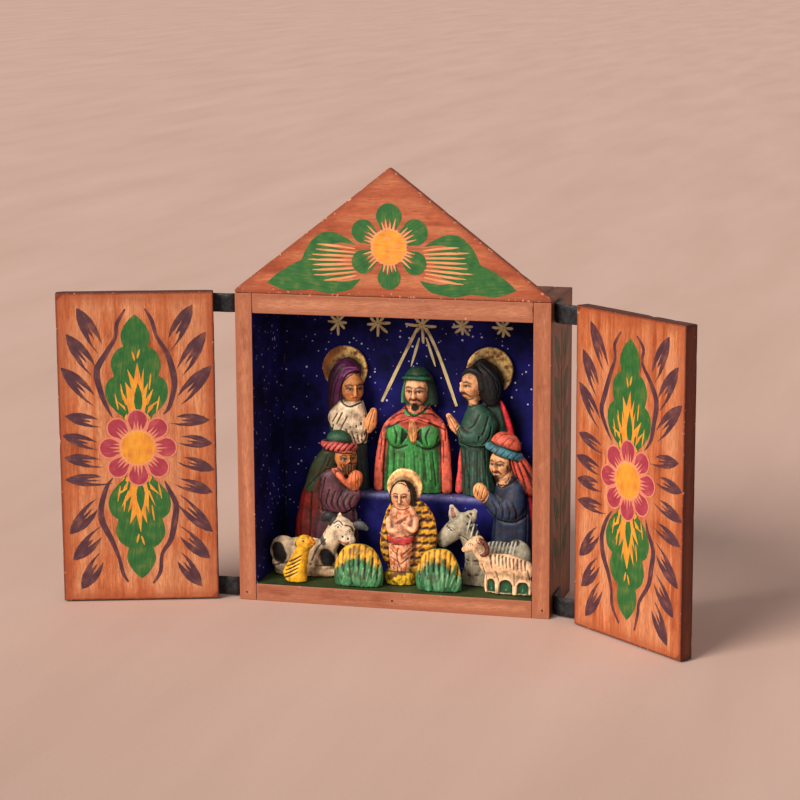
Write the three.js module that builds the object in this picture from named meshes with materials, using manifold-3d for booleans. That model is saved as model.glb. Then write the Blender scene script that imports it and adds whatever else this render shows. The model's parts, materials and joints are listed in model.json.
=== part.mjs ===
// A folding shrine box: a small painted wooden cabinet with a gable, two doors on
// leather straps, and a nativity of twelve modelled clay figures glued inside.
//
// Millimetres, +Z up. The origin is the middle of the box's underside. The open
// front faces -Y, and the doors stand open as wings.

import * as THREE from 'three';
import { mergeVertices } from 'three/addons/utils/BufferGeometryUtils.js';
import Module from 'manifold-3d';

const wasm = await Module();
wasm.setup();

// ---------------------------------------------------------------- driving sizes

const BOX = { width: 127, depth: 44, height: 125 };
const BOARD = { side: 7, top: 8, floor: 7, back: 3 };
const GABLE = { rise: 50.5, thickness: 3.2, cornerLand: 1 };
const DOOR = { width: 62, height: 125, thickness: 5.5, lift: 0.5, frontGap: 0.5, sideInset: 1 };
const GAP = 0.3; // air left between two pieces that touch

// The hinge line of each door: how far it lies outside the box and in front of
// it, and how far the door stands open from shut.
const HINGE = {
  left: { side: -1, outside: 3.7, forward: 0.6, open: 162.7 },
  right: { side: 1, outside: 5.7, forward: 0.6, open: 139.4 },
};

const STRAP = {
  width: 7.5, thickness: 0.8, low: 0.8, high: 116.6,
  leavesBox: 7, boxTab: 12, doorTab: 12, doorInset: 1.2, bend: 5, bendPieces: 8, slack: 0.2,
};

// The painted ledge across the back, with rounded shoulders.
const LEDGE = { left: -36, right: 38, depth: 12, height: 32.7, shoulder: 8 };

const WOOD = 0xb06a45;
const WOOD_DARK = 0x6b4535;
const NAVY = 0x1b1f5c;
const LEATHER = 0x15181c;

// ------------------------------------------------------------ worked-out places

const halfWidth = BOX.width / 2;
const frontY = -BOX.depth / 2;
const backY = BOX.depth / 2;
const insideHalfWidth = halfWidth - BOARD.side;
const insideBackY = backY - BOARD.back;
const floorTop = BOARD.floor;
const ledgeFrontY = insideBackY - GAP - LEDGE.depth;
const ledgeTop = floorTop + GAP + LEDGE.height;

// The rows in which the figures stand, from the back to the front edge.
const ROW = { standing: 13.1, kneeling: 2.7, lying: -5.1, cradle: -10, front: -15.6 };
const onFloor = floorTop + GAP;
const onLedge = ledgeTop + GAP;
const ANIMAL_FLATNESS = 0.82; // the lying animals are pressed flatter than they are tall

// ---------------------------------------------------------------- shape helpers

function deg(angle) {
  return THREE.MathUtils.degToRad(angle);
}

function board(width, depth, height, x, y, z) {
  const geometry = new THREE.BoxGeometry(width, depth, height);
  return geometry.translate(x, y, z + height / 2);
}

// A closed stack of oval rings: [x, y, z, half width, half depth], lowest first.
// folds gives the number of upright folds and how deep they are at the hem.
function stack(rings, { sides = 12, folds = 0, depth = 0 } = {}) {
  const last = rings.length - 1;
  const geometry = new THREE.CylinderGeometry(1, 1, 1, sides, last).rotateX(Math.PI / 2);
  const points = geometry.attributes.position;
  for (let i = 0; i < points.count; i++) {
    const level = Math.round((points.getZ(i) + 0.5) * last);
    const [x, y, z, halfW, halfD] = rings[level];
    const angle = Math.atan2(points.getY(i), points.getX(i));
    const hem = depth * (1 - level / last);
    const out = Math.hypot(points.getX(i), points.getY(i)) * (1 + hem * Math.cos(folds * angle));
    points.setXYZ(i, x + halfW * out * Math.cos(angle), y + halfD * out * Math.sin(angle), z);
  }
  return geometry;
}

// An egg-shaped lump, turned by tilt degrees in the plane of the box's front.
function egg(x, y, z, halfW, halfD, halfH, tilt = 0) {
  const geometry = new THREE.SphereGeometry(1, 10, 6).rotateX(Math.PI / 2);
  return geometry.scale(halfW, halfD, halfH).rotateY(deg(tilt)).translate(x, y, z);
}

// A round-ended taper from one point to another: an arm, a leg, a neck, a horn.
function limb(from, to, thick, thin) {
  const start = new THREE.Vector3(...from);
  const run = new THREE.Vector3(...to).sub(start);
  const length = run.length();
  const rings = [
    [0, 0, -0.7 * thick, 0.5 * thick, 0.5 * thick],
    [0, 0, 0, thick, thick],
    [0, 0, length, thin, thin],
    [0, 0, length + 0.7 * thin, 0.5 * thin, 0.5 * thin],
  ];
  const turn = new THREE.Quaternion().setFromUnitVectors(new THREE.Vector3(0, 0, 1), run.normalize());
  return stack(rings, { sides: 7 }).applyQuaternion(turn).translate(...from);
}

// A flat round plate standing upright, as a halo does.
function halo(x, y, z, radius, thickness = 1.8) {
  return new THREE.CylinderGeometry(radius, radius, thickness, 18).translate(x, y, z);
}

// A flat outline in the plane of the front, made thick from y to y + thickness.
function slab(shape, y, thickness) {
  const options = { depth: thickness, bevelEnabled: false, curveSegments: 6 };
  return new THREE.ExtrudeGeometry(shape, options).rotateX(Math.PI / 2).translate(0, y + thickness, 0);
}

function toSolid(geometry) {
  const plain = geometry.clone();
  plain.deleteAttribute('normal');
  plain.deleteAttribute('uv');
  const merged = mergeVertices(plain, 1e-4);
  const vertProperties = new Float32Array(merged.attributes.position.array);
  const triVerts = new Uint32Array(merged.index.array);
  return new wasm.Manifold(new wasm.Mesh({ numProp: 3, vertProperties, triVerts }));
}

function toGeometry(solid) {
  const mesh = solid.getMesh();
  const geometry = new THREE.BufferGeometry();
  geometry.setAttribute('position', new THREE.BufferAttribute(mesh.vertProperties, 3));
  geometry.setIndex(new THREE.BufferAttribute(mesh.triVerts, 1));
  return geometry;
}

function fuse(...lumps) {
  return toGeometry(lumps.map(toSolid).reduce((whole, lump) => whole.add(lump)));
}

// ------------------------------------------------------------------ the cabinet

function sideBoard(side) {
  const x = side * (halfWidth - BOARD.side / 2);
  return board(BOARD.side, BOX.depth, BOX.height, x, 0, 0);
}

function levelBoard(thickness, z) {
  return board(2 * (insideHalfWidth - GAP), BOX.depth, thickness, 0, 0, z);
}

function backPanel() {
  const height = BOX.height - BOARD.top - BOARD.floor - 2 * GAP;
  const y = insideBackY + BOARD.back / 2;
  return board(2 * (insideHalfWidth - GAP), BOARD.back, height, 0, y, onFloor);
}

function gable() {
  const shape = new THREE.Shape();
  shape.moveTo(-halfWidth, 0);
  shape.lineTo(halfWidth, 0);
  shape.lineTo(halfWidth, GABLE.cornerLand);
  shape.lineTo(0, GABLE.rise - GAP);
  shape.lineTo(-halfWidth, GABLE.cornerLand);
  return slab(shape, frontY, GABLE.thickness).translate(0, 0, BOX.height + GAP);
}

function ledge() {
  const { left, right, height, shoulder } = LEDGE;
  const shape = new THREE.Shape();
  shape.moveTo(left, 0);
  shape.lineTo(right, 0);
  shape.lineTo(right, height - shoulder);
  shape.absarc(right - shoulder, height - shoulder, shoulder, 0, Math.PI / 2);
  shape.lineTo(left + shoulder, height);
  shape.absarc(left + shoulder, height - shoulder, shoulder, Math.PI / 2, Math.PI);
  return slab(shape, ledgeFrontY, LEDGE.depth).translate(0, 0, onFloor);
}

// ------------------------------------------------------------- doors and straps

function hingeLine({ side, outside, forward }) {
  return new THREE.Vector3(side * (halfWidth + outside), frontY - forward, 0);
}

// The door lies shut against the front, drawn about its own hinge line, so that
// turning the mesh about that line opens it.
function doorShut(hinge) {
  const line = hingeLine(hinge);
  const middleX = hinge.side * (halfWidth - DOOR.sideInset - DOOR.width / 2);
  const middleY = frontY - DOOR.frontGap - DOOR.thickness / 2;
  return board(DOOR.width, DOOR.thickness, DOOR.height, middleX - line.x, middleY - line.y, DOOR.lift);
}

function doorMesh(name, hinge) {
  const mesh = new THREE.Mesh(doorShut(hinge), paint(WOOD, 0.55));
  mesh.name = name;
  mesh.position.copy(hingeLine(hinge));
  mesh.rotation.z = hinge.side * deg(hinge.open);
  return mesh;
}

// The strap's middle line in plan: a tab on the box's side, a free bend across
// the gap, and a tab on the outer face of the open door.
function strapLine(hinge) {
  const standoff = GAP + STRAP.thickness / 2;
  const line = hingeLine(hinge);
  const turned = (x, y) => {
    const point = new THREE.Vector2(hinge.side * x, y).sub(line);
    return point.rotateAround(new THREE.Vector2(), hinge.side * deg(hinge.open)).add(line);
  };
  const outerFace = frontY - DOOR.frontGap - DOOR.thickness - standoff - STRAP.slack;
  const doorEdge = halfWidth - DOOR.sideInset;
  const boxX = hinge.side * (halfWidth + standoff);
  const leave = new THREE.Vector2(boxX, frontY + STRAP.leavesBox);
  const join = turned(doorEdge - STRAP.doorInset, outerFace);
  const tabEnd = turned(doorEdge - STRAP.doorInset - STRAP.doorTab, outerFace);
  const inward = tabEnd.clone().sub(join).normalize();
  const free = new THREE.CubicBezierCurve(
    leave,
    leave.clone().add(new THREE.Vector2(0, -STRAP.bend)),
    join.clone().addScaledVector(inward, -STRAP.bend),
    join,
  );
  const boxTabEnd = leave.clone().add(new THREE.Vector2(0, STRAP.boxTab));
  return [boxTabEnd, ...free.getPoints(STRAP.bendPieces), tabEnd];
}

function strap(hinge, z) {
  const line = strapLine(hinge);
  const half = STRAP.thickness / 2;
  const edges = [[], []];
  line.forEach((point, i) => {
    const before = line[Math.max(i - 1, 0)];
    const after = line[Math.min(i + 1, line.length - 1)];
    const along = after.clone().sub(before).normalize();
    const across = new THREE.Vector2(-along.y, along.x).multiplyScalar(half);
    edges[0].push(point.clone().add(across));
    edges[1].unshift(point.clone().sub(across));
  });
  const shape = new THREE.Shape([...edges[0], ...edges[1]]);
  const options = { depth: STRAP.width, bevelEnabled: false };
  return new THREE.ExtrudeGeometry(shape, options).translate(0, 0, z);
}

// ------------------------------------------------------------------ the figures
// Each is drawn about the middle of its own base: x across, y in its row, z up.

function haloedWoman() {
  const robe = [
    [0.5, 0, 0, 9, 5], [0.2, 0, 10, 8.2, 4.8], [-0.3, 0, 20, 8, 4.7],
    [-0.8, 0, 27, 7.4, 4.4], [0.8, 0, 34, 4, 3.6],
  ];
  const shawl = [
    [3.4, -0.8, 19.4, 3.4, 3.4], [0.4, -0.4, 24, 8, 4.8],
    [-0.3, -0.2, 30, 8.2, 5], [1.4, -0.2, 36.5, 4.6, 4],
  ];
  const veil = [
    [-4.6, 1.8, 33, 4.6, 3], [-3.4, 1, 40, 5.4, 4.2], [-1.4, 0.2, 47, 6.4, 4.8],
    [-0.8, 0.2, 51.6, 4.4, 3.8], [-0.6, 0.4, 53.6, 1.6, 1.6],
  ];
  return fuse(
    stack(robe, { folds: 7, depth: 0.07, sides: 14 }),
    stack(shawl),
    stack(veil),
    egg(2.2, -1.4, 42, 4.5, 3.9, 6.5),
    halo(-1.4, 3.9, 50, 10),
    limb([3.4, -3, 24], [8.2, -3.2, 27.4], 2.8, 2.2),
    egg(9.6, -3.2, 29.8, 2, 2.2, 5.2, 10),
  );
}

function robedMan() {
  const robe = [
    [-0.6, -0.4, 0, 11.4, 4.6], [-0.4, -0.4, 12, 10.2, 4.8], [0.4, -0.4, 26, 9.6, 4.6],
    [1.4, -0.2, 35.5, 4, 3.6],
  ];
  const cloak = [
    [0.6, 2, 0, 16.2, 3.2], [0.8, 2, 14, 15, 3.2], [1.2, 2, 24, 13.8, 3.2],
    [1.4, 1.6, 31, 10, 3.2], [1.6, 1, 36, 4.5, 3],
  ];
  const collar = [
    [1.4, -0.2, 25.8, 11.8, 4.6], [1.6, -0.2, 31, 10, 4.8], [1.7, -0.2, 36.8, 4.6, 4],
  ];
  const headcloth = [
    [2.6, 2, 36, 8, 3], [2.2, 1.6, 42, 7.4, 3.8], [2, 0.4, 48, 6.9, 4.7],
    [1.8, 0.2, 51, 5.4, 4.2], [1.8, 0.4, 52.8, 2, 2],
  ];
  return fuse(
    stack(robe, { folds: 8, depth: 0.06, sides: 16 }),
    stack(cloak),
    stack(collar),
    stack(headcloth),
    egg(1.7, -1.5, 42.4, 4.7, 3.9, 6.6),
    egg(-5.4, -3.6, 23.2, 5.4, 3.4, 5.4, 12),
    egg(6, -3.6, 23.6, 5.4, 3.4, 5.4, -12),
    egg(0.8, -5.4, 25.4, 2.4, 2.1, 5),
  );
}

function haloedMan() {
  const robe = [
    [0.4, -0.4, 0, 8, 4.8], [-1, -0.4, 10, 6.6, 4.6], [-2, -0.4, 19, 6, 4.4],
    [-1, -0.4, 27, 7, 4.6], [0, -0.4, 32.5, 6.4, 4.2], [-1.4, -0.6, 37, 3.4, 3.2],
  ];
  const cape = [
    [1.2, 2.4, 0, 11.4, 2.9], [2.2, 2.4, 14, 11, 2.9], [5.2, 2.2, 27, 8.4, 2.9],
    [6.2, 1.8, 34, 5.6, 2.9], [5, 1.4, 40, 2.6, 2],
  ];
  const hair = [
    [4.4, 1, 38.4, 3.4, 3.2], [3.6, 0.6, 43, 5.4, 4.4], [1.6, 0.2, 49, 6.8, 4.8],
    [0.6, 0.2, 53.4, 5, 3.8], [0.2, 0.4, 55.3, 1.8, 1.6],
  ];
  return fuse(
    stack(robe, { folds: 7, depth: 0.07, sides: 14 }),
    stack(cape),
    stack(hair),
    egg(-4, -1.2, 46, 4, 3.8, 6.4, 8),
    egg(-3.4, -1.8, 40.2, 2.2, 2.4, 2.8),
    halo(4, 3.9, 51, 10),
    limb([-4.6, -3, 24.4], [-9.6, -3.4, 27.6], 3, 2.4),
    egg(-11.4, -3.4, 30, 2.4, 2.3, 5, -12),
  );
}

function kneelingManLeft() {
  const robe = [
    [-1, 0, 0, 12.4, 3.6], [-0.6, 0, 13, 12.8, 3.6], [0.4, 0, 23, 11, 3.5],
    [1.4, 0, 31, 9.2, 3.5], [1.2, 0, 39, 7.2, 3.4], [4, 0, 44.4, 4, 3],
  ];
  const cloak = [
    [-6, 0.8, 0, 9.6, 2.8], [-6.2, 0.8, 14, 9.8, 2.8], [-5.6, 0.8, 26, 8.8, 2.8],
    [-4, 0.8, 36, 7, 2.8], [-0.6, 0.6, 44, 4, 2.6],
  ];
  const veil = [[-6.4, 0.6, 33, 4.4, 2.9], [-3.2, 0.4, 41, 5, 3.1], [0.6, 0.2, 50, 4.6, 3.2]];
  return fuse(
    stack(robe, { folds: 6, depth: 0.05 }),
    stack(cloak),
    stack(veil),
    egg(5, -1.2, 32, 8.6, 2.8, 6.6, 18),
    egg(10.8, -1.6, 39.2, 3.1, 2.5, 4.6, 20),
    egg(6.8, -0.6, 48, 4.6, 3.3, 5.6),
    egg(8, -1, 43.6, 2.8, 2.6, 3.6),
    egg(3.8, -0.2, 52.8, 7.1, 3.8, 2.6),
    egg(3.7, 0, 55.6, 5.4, 3.5, 3.6),
  );
}

function kneelingManRight() {
  const robe = [
    [-0.6, 0, 0, 9.8, 3.6], [0.6, 0, 14, 8.6, 3.6], [1.4, 0, 26, 7.4, 3.5],
    [0.6, 0, 36, 6.6, 3.4], [-1.6, 0, 42, 3.8, 3],
  ];
  const cape = [
    [6.4, 1.2, 0, 3.4, 2.4], [7, 1.2, 16, 3.6, 2.4], [7.6, 1.2, 30, 3, 2.4],
    [5.4, 1, 40, 3, 2.4],
  ];
  return fuse(
    stack(robe, { folds: 6, depth: 0.05 }),
    stack(cape),
    egg(-0.4, -1.2, 32, 7, 2.8, 6, -35),
    limb([-1, -1.4, 32], [-8.6, -1.6, 34.6], 3, 2.4),
    egg(-11.4, -1.6, 36, 3, 2.4, 4.2, -25),
    egg(-4.2, -0.6, 48.4, 4.7, 3.3, 6.2, 12),
    egg(6.2, 0.7, 45.6, 4.6, 3.1, 7.4, -34),
    egg(-2, -0.2, 54.2, 6.8, 3.8, 2.6, 18),
    egg(-0.8, 0, 56.6, 6.2, 3.6, 4.9, 18),
  );
}

function infantInCradle() {
  const foot = [[-0.5, 0, 0, 6.2, 3], [-0.5, 0, 3, 6.6, 3.2], [-0.5, 0, 6.4, 5.4, 2.8]];
  const basket = [
    [1.4, 1, 3.6, 5.6, 2.4], [2, 1, 10, 10.4, 2.8], [2.8, 1, 19, 12, 2.9],
    [3, 1, 27, 10.6, 2.8], [2.6, 1, 34, 6.8, 2.3],
  ];
  const swaddling = [
    [-0.4, -0.6, 5.6, 4.4, 2.8], [-0.4, -0.9, 13, 4.8, 3], [0, -0.9, 20, 5.6, 3.2],
    [1, -0.7, 26.5, 7, 3.4], [1, -0.4, 31.6, 3.6, 2.8],
  ];
  return fuse(
    stack(foot),
    stack(basket, { sides: 14 }),
    stack(swaddling),
    egg(-2.4, -2.4, 22.6, 4.2, 1.9, 2.4, 30),
    egg(3.4, -2.4, 23.2, 4.2, 1.9, 2.4, -30),
    egg(0.4, -0.9, 36.8, 4.9, 3.4, 5.8),
    halo(1, 1.9, 39.8, 7.7, 1.6),
  );
}

function cow() {
  return fuse(
    egg(0, 0, 8, 14.6, 3.4, 8),
    stack([[0, 0, 0, 13.4, 3.2], [0, 0, 3, 14, 3.4], [0, 0, 6, 13, 3.2]], { sides: 16 }),
    egg(-9.4, -0.2, 9.6, 6.2, 3.3, 6.6),
    limb([9, 0, 11], [13, -0.4, 19], 4.4, 4),
    egg(15.6, -0.8, 20, 6.4, 3.6, 5.6, 40),
    egg(17.2, -1.6, 15.4, 4.2, 2.8, 3.2, 20),
    limb([12, 0, 24.4], [7.8, 0, 24.8], 1.9, 1),
    limb([20, 0, 21.6], [25.6, 0, 21.4], 1.9, 1.2),
    limb([15.4, 0, 24], [15, 0, 26.6], 1.8, 0.8),
  ).scale(1, ANIMAL_FLATNESS, 1);
}

function donkey() {
  return fuse(
    egg(3, 0, 9.6, 13.6, 3.4, 9.4),
    stack([[1, 0, 0, 13.6, 3.2], [1, 0, 4, 14, 3.4], [1, 0, 7, 12.6, 3.2]], { sides: 16 }),
    egg(10.2, 0, 13, 6, 3.3, 7),
    limb([-8, 0, 9], [-8.6, 0, 20], 4.2, 3.8),
    limb([-5, 0, 17], [-12.4, 0.4, 26], 4.4, 4.2),
    limb([-14.6, 0.6, 24.4], [-20.6, 0.6, 18.2], 4.4, 3),
    limb([-16.4, 0.8, 28], [-18.4, 0.8, 32.4], 2.2, 0.8),
    limb([-11.6, 0.8, 27], [-9.8, 0.8, 30.2], 2.3, 0.9),
  ).scale(1, ANIMAL_FLATNESS, 1);
}

function bird() {
  const body = [
    [-1.6, 0, 0, 4.6, 3], [-1.8, 0, 3.4, 5, 3.1], [0, 0, 9, 3.9, 2.9],
    [1.8, 0, 14.6, 2.8, 2.6],
  ];
  return fuse(
    stack(body),
    limb([-2.6, 0, 5], [-5.4, 0, 2.4], 2.8, 1.4),
    egg(2.6, -0.1, 16.6, 3.5, 2.9, 3.4),
    limb([4.8, -0.2, 16.6], [6.6, -0.2, 16], 1.4, 0.7),
  );
}

// A clump of grass: a domed mass whose rim is drawn into upright blades.
function grassTuft(halfW) {
  const rings = [
    [0, 0, 0, 0.96], [0, 0, 3, 1], [0, 0, 9, 0.92],
    [0, 0, 14, 0.7], [0, 0, 17.2, 0.36],
  ];
  const clump = rings.map(([x, y, z, share]) => [x, y, z, share * halfW, share * 3.7]);
  return fuse(stack(clump, { sides: 22, folds: 11, depth: 0.05 }), stack(clump, { sides: 11 }));
}

function goat() {
  const leg = (x) => stack([[x, 0, 0, 1.5, 2.2], [x, 0, 10, 1.5, 2.2]], { sides: 8 });
  return fuse(
    ...[-7, -1.2, 3.4, 10].map(leg),
    board(17, 3, 8, 1.5, 0, 0.2),
    egg(1.4, 0, 11.2, 10.8, 3, 5.2, 14),
    limb([-6.4, 0, 12], [-10.4, 0, 16.6], 3.4, 2.6),
    egg(-12.8, -0.3, 19.2, 4.6, 2.6, 3.1, -32),
    new THREE.TorusGeometry(2.4, 1, 6, 12).rotateX(Math.PI / 2).translate(-8.2, -0.9, 16.6),
  );
}

// ------------------------------------------------------------------- assembling

function paint(color, roughness = 0.7) {
  return new THREE.MeshStandardMaterial({ color, roughness, metalness: 0 });
}

const shrine = new THREE.Group();

function add(name, geometry, color, roughness) {
  const mesh = new THREE.Mesh(geometry, paint(color, roughness));
  mesh.name = name;
  shrine.add(mesh);
}

add('left_side', sideBoard(-1), WOOD_DARK);
add('right_side', sideBoard(1), WOOD_DARK);
add('top_board', levelBoard(BOARD.top, BOX.height - BOARD.top), WOOD);
add('floor_board', levelBoard(BOARD.floor, 0), WOOD);
add('back_panel', backPanel(), NAVY);
add('gable', gable(), WOOD);
add('ledge', ledge(), NAVY);

for (const [name, hinge] of Object.entries(HINGE)) {
  shrine.add(doorMesh(`${name}_door`, hinge));
  add(`${name}_strap_top`, strap(hinge, STRAP.high), LEATHER, 0.5);
  add(`${name}_strap_bottom`, strap(hinge, STRAP.low), LEATHER, 0.5);
}

const figures = [
  ['haloed_woman', haloedWoman(), 0x4a1838, -27, ROW.standing, onLedge],
  ['robed_man', robedMan(), 0x3f7a45, 0, ROW.standing, onLedge],
  ['haloed_man', haloedMan(), 0x2c4a42, 28, ROW.standing, onLedge],
  ['kneeling_man_left', kneelingManLeft(), 0x5e3038, -32, ROW.kneeling, onFloor],
  ['kneeling_man_right', kneelingManRight(), 0x2e3a52, 42, ROW.kneeling, onFloor],
  ['infant_in_cradle', infantInCradle(), 0xe0a070, 1, ROW.cradle, onFloor],
  ['cow', cow(), 0xd8c4a8, -40.4, ROW.lying, onFloor],
  ['donkey', donkey(), 0xa8a090, 37, ROW.lying, onFloor],
  ['bird', bird(), 0xe0b020, -40, ROW.front, onFloor],
  ['grass_tuft_left', grassTuft(10.6), 0x4f8a50, -15.3, ROW.front, onFloor],
  ['grass_tuft_right', grassTuft(9.8), 0x4f8a50, 17.6, ROW.front, onFloor],
  ['goat', goat(), 0xe0c8a8, 44, ROW.front, onFloor],
];
for (const [name, geometry, color, x, y, z] of figures) {
  add(name, geometry.translate(x, y, z), color, 0.6);
}

export default shrine;
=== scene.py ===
# %% [markdown]
# # A folding shrine box
# The real object is a small travelling altar: a wooden box with a gable, two doors that hang on
# leather straps, and a nativity of modelled clay figures glued inside. The box, the doors and the
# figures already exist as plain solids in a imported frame, which fixes every size and place. This
# lesson dresses them: worn stained boards, folk flowers painted stroke by stroke, and clay figures
# that are modelled, carved and painted. Everything is drawn in millimetres and made metres at the end.

# %% Load the frame
import json
import math
import random
from collections import namedtuple

import bmesh
import bpy
import numpy as np
from mathutils import Euler, Matrix, Vector, noise
from mathutils.bvhtree import BVHTree


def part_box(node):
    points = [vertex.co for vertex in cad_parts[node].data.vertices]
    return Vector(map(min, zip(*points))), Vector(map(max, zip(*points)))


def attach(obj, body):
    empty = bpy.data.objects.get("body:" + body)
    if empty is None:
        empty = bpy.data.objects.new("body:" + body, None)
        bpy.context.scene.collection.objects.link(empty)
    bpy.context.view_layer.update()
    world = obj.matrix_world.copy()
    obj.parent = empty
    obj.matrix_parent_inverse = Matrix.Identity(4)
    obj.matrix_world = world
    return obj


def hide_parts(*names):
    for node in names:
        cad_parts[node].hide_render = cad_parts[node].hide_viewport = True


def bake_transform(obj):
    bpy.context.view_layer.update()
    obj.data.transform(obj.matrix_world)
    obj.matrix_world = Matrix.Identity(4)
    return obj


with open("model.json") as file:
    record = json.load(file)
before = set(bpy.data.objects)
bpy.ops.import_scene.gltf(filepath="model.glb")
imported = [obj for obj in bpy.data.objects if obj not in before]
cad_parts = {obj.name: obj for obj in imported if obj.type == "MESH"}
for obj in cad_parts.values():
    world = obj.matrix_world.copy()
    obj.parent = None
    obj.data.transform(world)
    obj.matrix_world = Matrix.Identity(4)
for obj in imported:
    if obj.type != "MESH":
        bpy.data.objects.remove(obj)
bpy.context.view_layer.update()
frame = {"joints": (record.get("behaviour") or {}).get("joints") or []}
MM = 0.001


def node_box(name):
    """The lowest and highest corners of a solid of the frame, in millimetres."""
    low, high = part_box(name)
    return low / MM, high / MM


# %% [markdown]
# ## Camera, floor and light
# The box is seen from a little above and from its right, through a long lens, so that its upright
# edges stay nearly parallel. The camera circles a point in the open box: it is first turned and
# then pushed back along its own line of sight, which keeps the two decisions apart.

# %% Camera
AIM = Vector((3.7, -22.0, 84.79))
AZIMUTH, ELEVATION, ROLL = 14.55, 10.9, -0.29
DISTANCE = 942.4
LENS = 108.67

scene = bpy.context.scene
camera_data = bpy.data.cameras.new("camera")
camera_data.lens = LENS
camera_data.clip_end = 100
camera = bpy.data.objects.new("camera", camera_data)
scene.collection.objects.link(camera)
aim_turn = Euler((math.radians(90 - ELEVATION), 0, math.radians(AZIMUTH))).to_matrix()
roll_turn = Matrix.Rotation(math.radians(ROLL), 3, "Z")
camera_turn = aim_turn @ roll_turn
camera_place = (AIM + camera_turn @ Vector((0, 0, DISTANCE))) * MM
camera.matrix_world = Matrix.Translation(camera_place) @ camera_turn.to_4x4()
scene.camera = camera
scene.view_settings.view_transform = "Standard"
print("camera at", [round(c, 3) for c in camera_place])

# %% [markdown]
# Colours are easiest to choose as hex values, but shaders work with linear light, so one function
# translates. A second one adds a node: a key that names a setting of the node is set, and any
# other key is an input, which takes a plain value or the output that feeds it.


# %% Colours and nodes
def colour(text):
    """The linear red, green, blue and alpha of an sRGB hex value."""
    parts = [int(text[i:i + 2], 16) / 255 for i in (1, 3, 5)]
    linear = [c / 12.92 if c <= 0.04045 else ((c + 0.055) / 1.055) ** 2.4 for c in parts]
    return (*linear, 1.0)


def add_node(material, kind, settings, output=0):
    """Adds a node of the type ShaderNode + kind to a material, with its settings and links, and
    returns one of its outputs."""
    tree = material.node_tree
    made = tree.nodes.new("ShaderNode" + kind)
    for key, value in settings.items():
        if key == "stops":
            for place, shade in value[2:]:
                made.color_ramp.elements.new(place).color = shade
            for end, (place, shade) in zip((0, -1), (value[0], value[1])):
                made.color_ramp.elements[end].position = place
                made.color_ramp.elements[end].color = shade
        elif isinstance(key, str) and hasattr(made, key):
            setattr(made, key, value)
        elif isinstance(value, bpy.types.NodeSocket):
            tree.links.new(value, made.inputs[key])
        else:
            made.inputs[key].default_value = value
    return made.outputs[output]


def start_material(name, settings):
    """A new material and its Principled shader, whose own sockets take the settings."""
    material = bpy.data.materials.new(name)
    material.use_nodes = True
    shader = material.node_tree.nodes["Principled BSDF"]
    for key, value in settings.items():
        shader.inputs[key].default_value = value
    return material, shader


def wear(material, shader, base, height, strength, depth):
    """Joins a finished colour and a bump of that depth, in millimetres, to the shader."""
    material.node_tree.links.new(base, shader.inputs["Base Color"])
    bump = add_node(material, "Bump", {"Height": height, "Strength": strength, "Distance": depth * MM})
    material.node_tree.links.new(bump, shader.inputs["Normal"])


# %% [markdown]
# The floor is a very large sheet of painted paper, so that it fills the picture up to the top edge.
# Lamps that stand near would leave its far end dark, so the light comes from two far ones, which
# Blender calls suns: the key from the left, as wide as a big soft box, so that its shadows have soft
# edges and its light reaches into the box, and a weak one from the right. The world adds a glow.

# %% Floor and lamps
FLOOR_SIZE = 60.0


def backdrop_paper():
    material, shader = start_material("matt_painted_backdrop_paper", {"Roughness": 0.95})
    place = add_node(material, "TexCoord", {}, "Object")
    drawn_back = add_node(material, "Mapping", {"Vector": place, "Scale": (1.0, 0.16, 1.0)})
    cloud = add_node(material, "TexNoise", {
        "Vector": drawn_back, "Scale": 1 / (60 * MM), "Detail": 4.0, "Roughness": 0.55})
    tooth = add_node(material, "TexNoise", {
        "Vector": place, "Scale": 1 / (1.6 * MM), "Detail": 3.0, "Roughness": 0.7})
    mottle = add_node(material, "Mix", {0: 0.28, 2: cloud, 3: tooth})
    tone = add_node(material, "ValToRGB", {
        "Fac": mottle, "stops": [(0.3, colour("#CFB0A2")), (0.7, colour("#DDBFB3"))]})
    # painted shade: the paper is made up to a fifth darker towards the front
    behind = add_node(material, "SeparateXYZ", {"Vector": place}, "Y")
    front_shade = add_node(material, "MapRange", {
        "Value": behind, "From Min": -0.1, "From Max": -0.45, "To Min": 1.0, "To Max": 0.8})
    paper_darker_to_the_front = add_node(material, "VectorMath", {"operation": "SCALE", 0: tone, "Scale": front_shade})
    wear(material, shader, paper_darker_to_the_front, tooth, 0.08, 0.1)
    return material


floor_mesh = bmesh.new()
bmesh.ops.create_grid(floor_mesh, x_segments=4, y_segments=4, size=FLOOR_SIZE / 2)
floor_data = bpy.data.meshes.new("paper_floor")
floor_mesh.to_mesh(floor_data)
floor_data.materials.append(backdrop_paper())
floor = bpy.data.objects.new("paper_floor", floor_data)
scene.collection.objects.link(floor)


def far_lamp(name, direction, softness, power, tint):
    """A far lamp that shines along a direction; softness is the width of its disc in degrees."""
    data = bpy.data.lights.new(name, "SUN")
    data.angle = math.radians(softness)
    data.energy = power
    data.color = colour(tint)[:3]
    lamp = bpy.data.objects.new(name, data)
    scene.collection.objects.link(lamp)
    lamp.matrix_world = Vector(direction).to_track_quat("-Z", "Y").to_matrix().to_4x4()


far_lamp("key_lamp", (0.46, 0.74, -0.5), 34, 3.4, "#FFF3E8")
far_lamp("fill_lamp", (-0.5, 0.82, -0.25), 60, 0.45, "#FFF4EC")
world = bpy.data.worlds.new("studio_glow")
world.use_nodes = True
world.node_tree.nodes["Background"].inputs["Color"].default_value = colour("#FFF4EE")
world.node_tree.nodes["Background"].inputs["Strength"].default_value = 0.33
scene.world = world
print("floor and 2 lamps")

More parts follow.
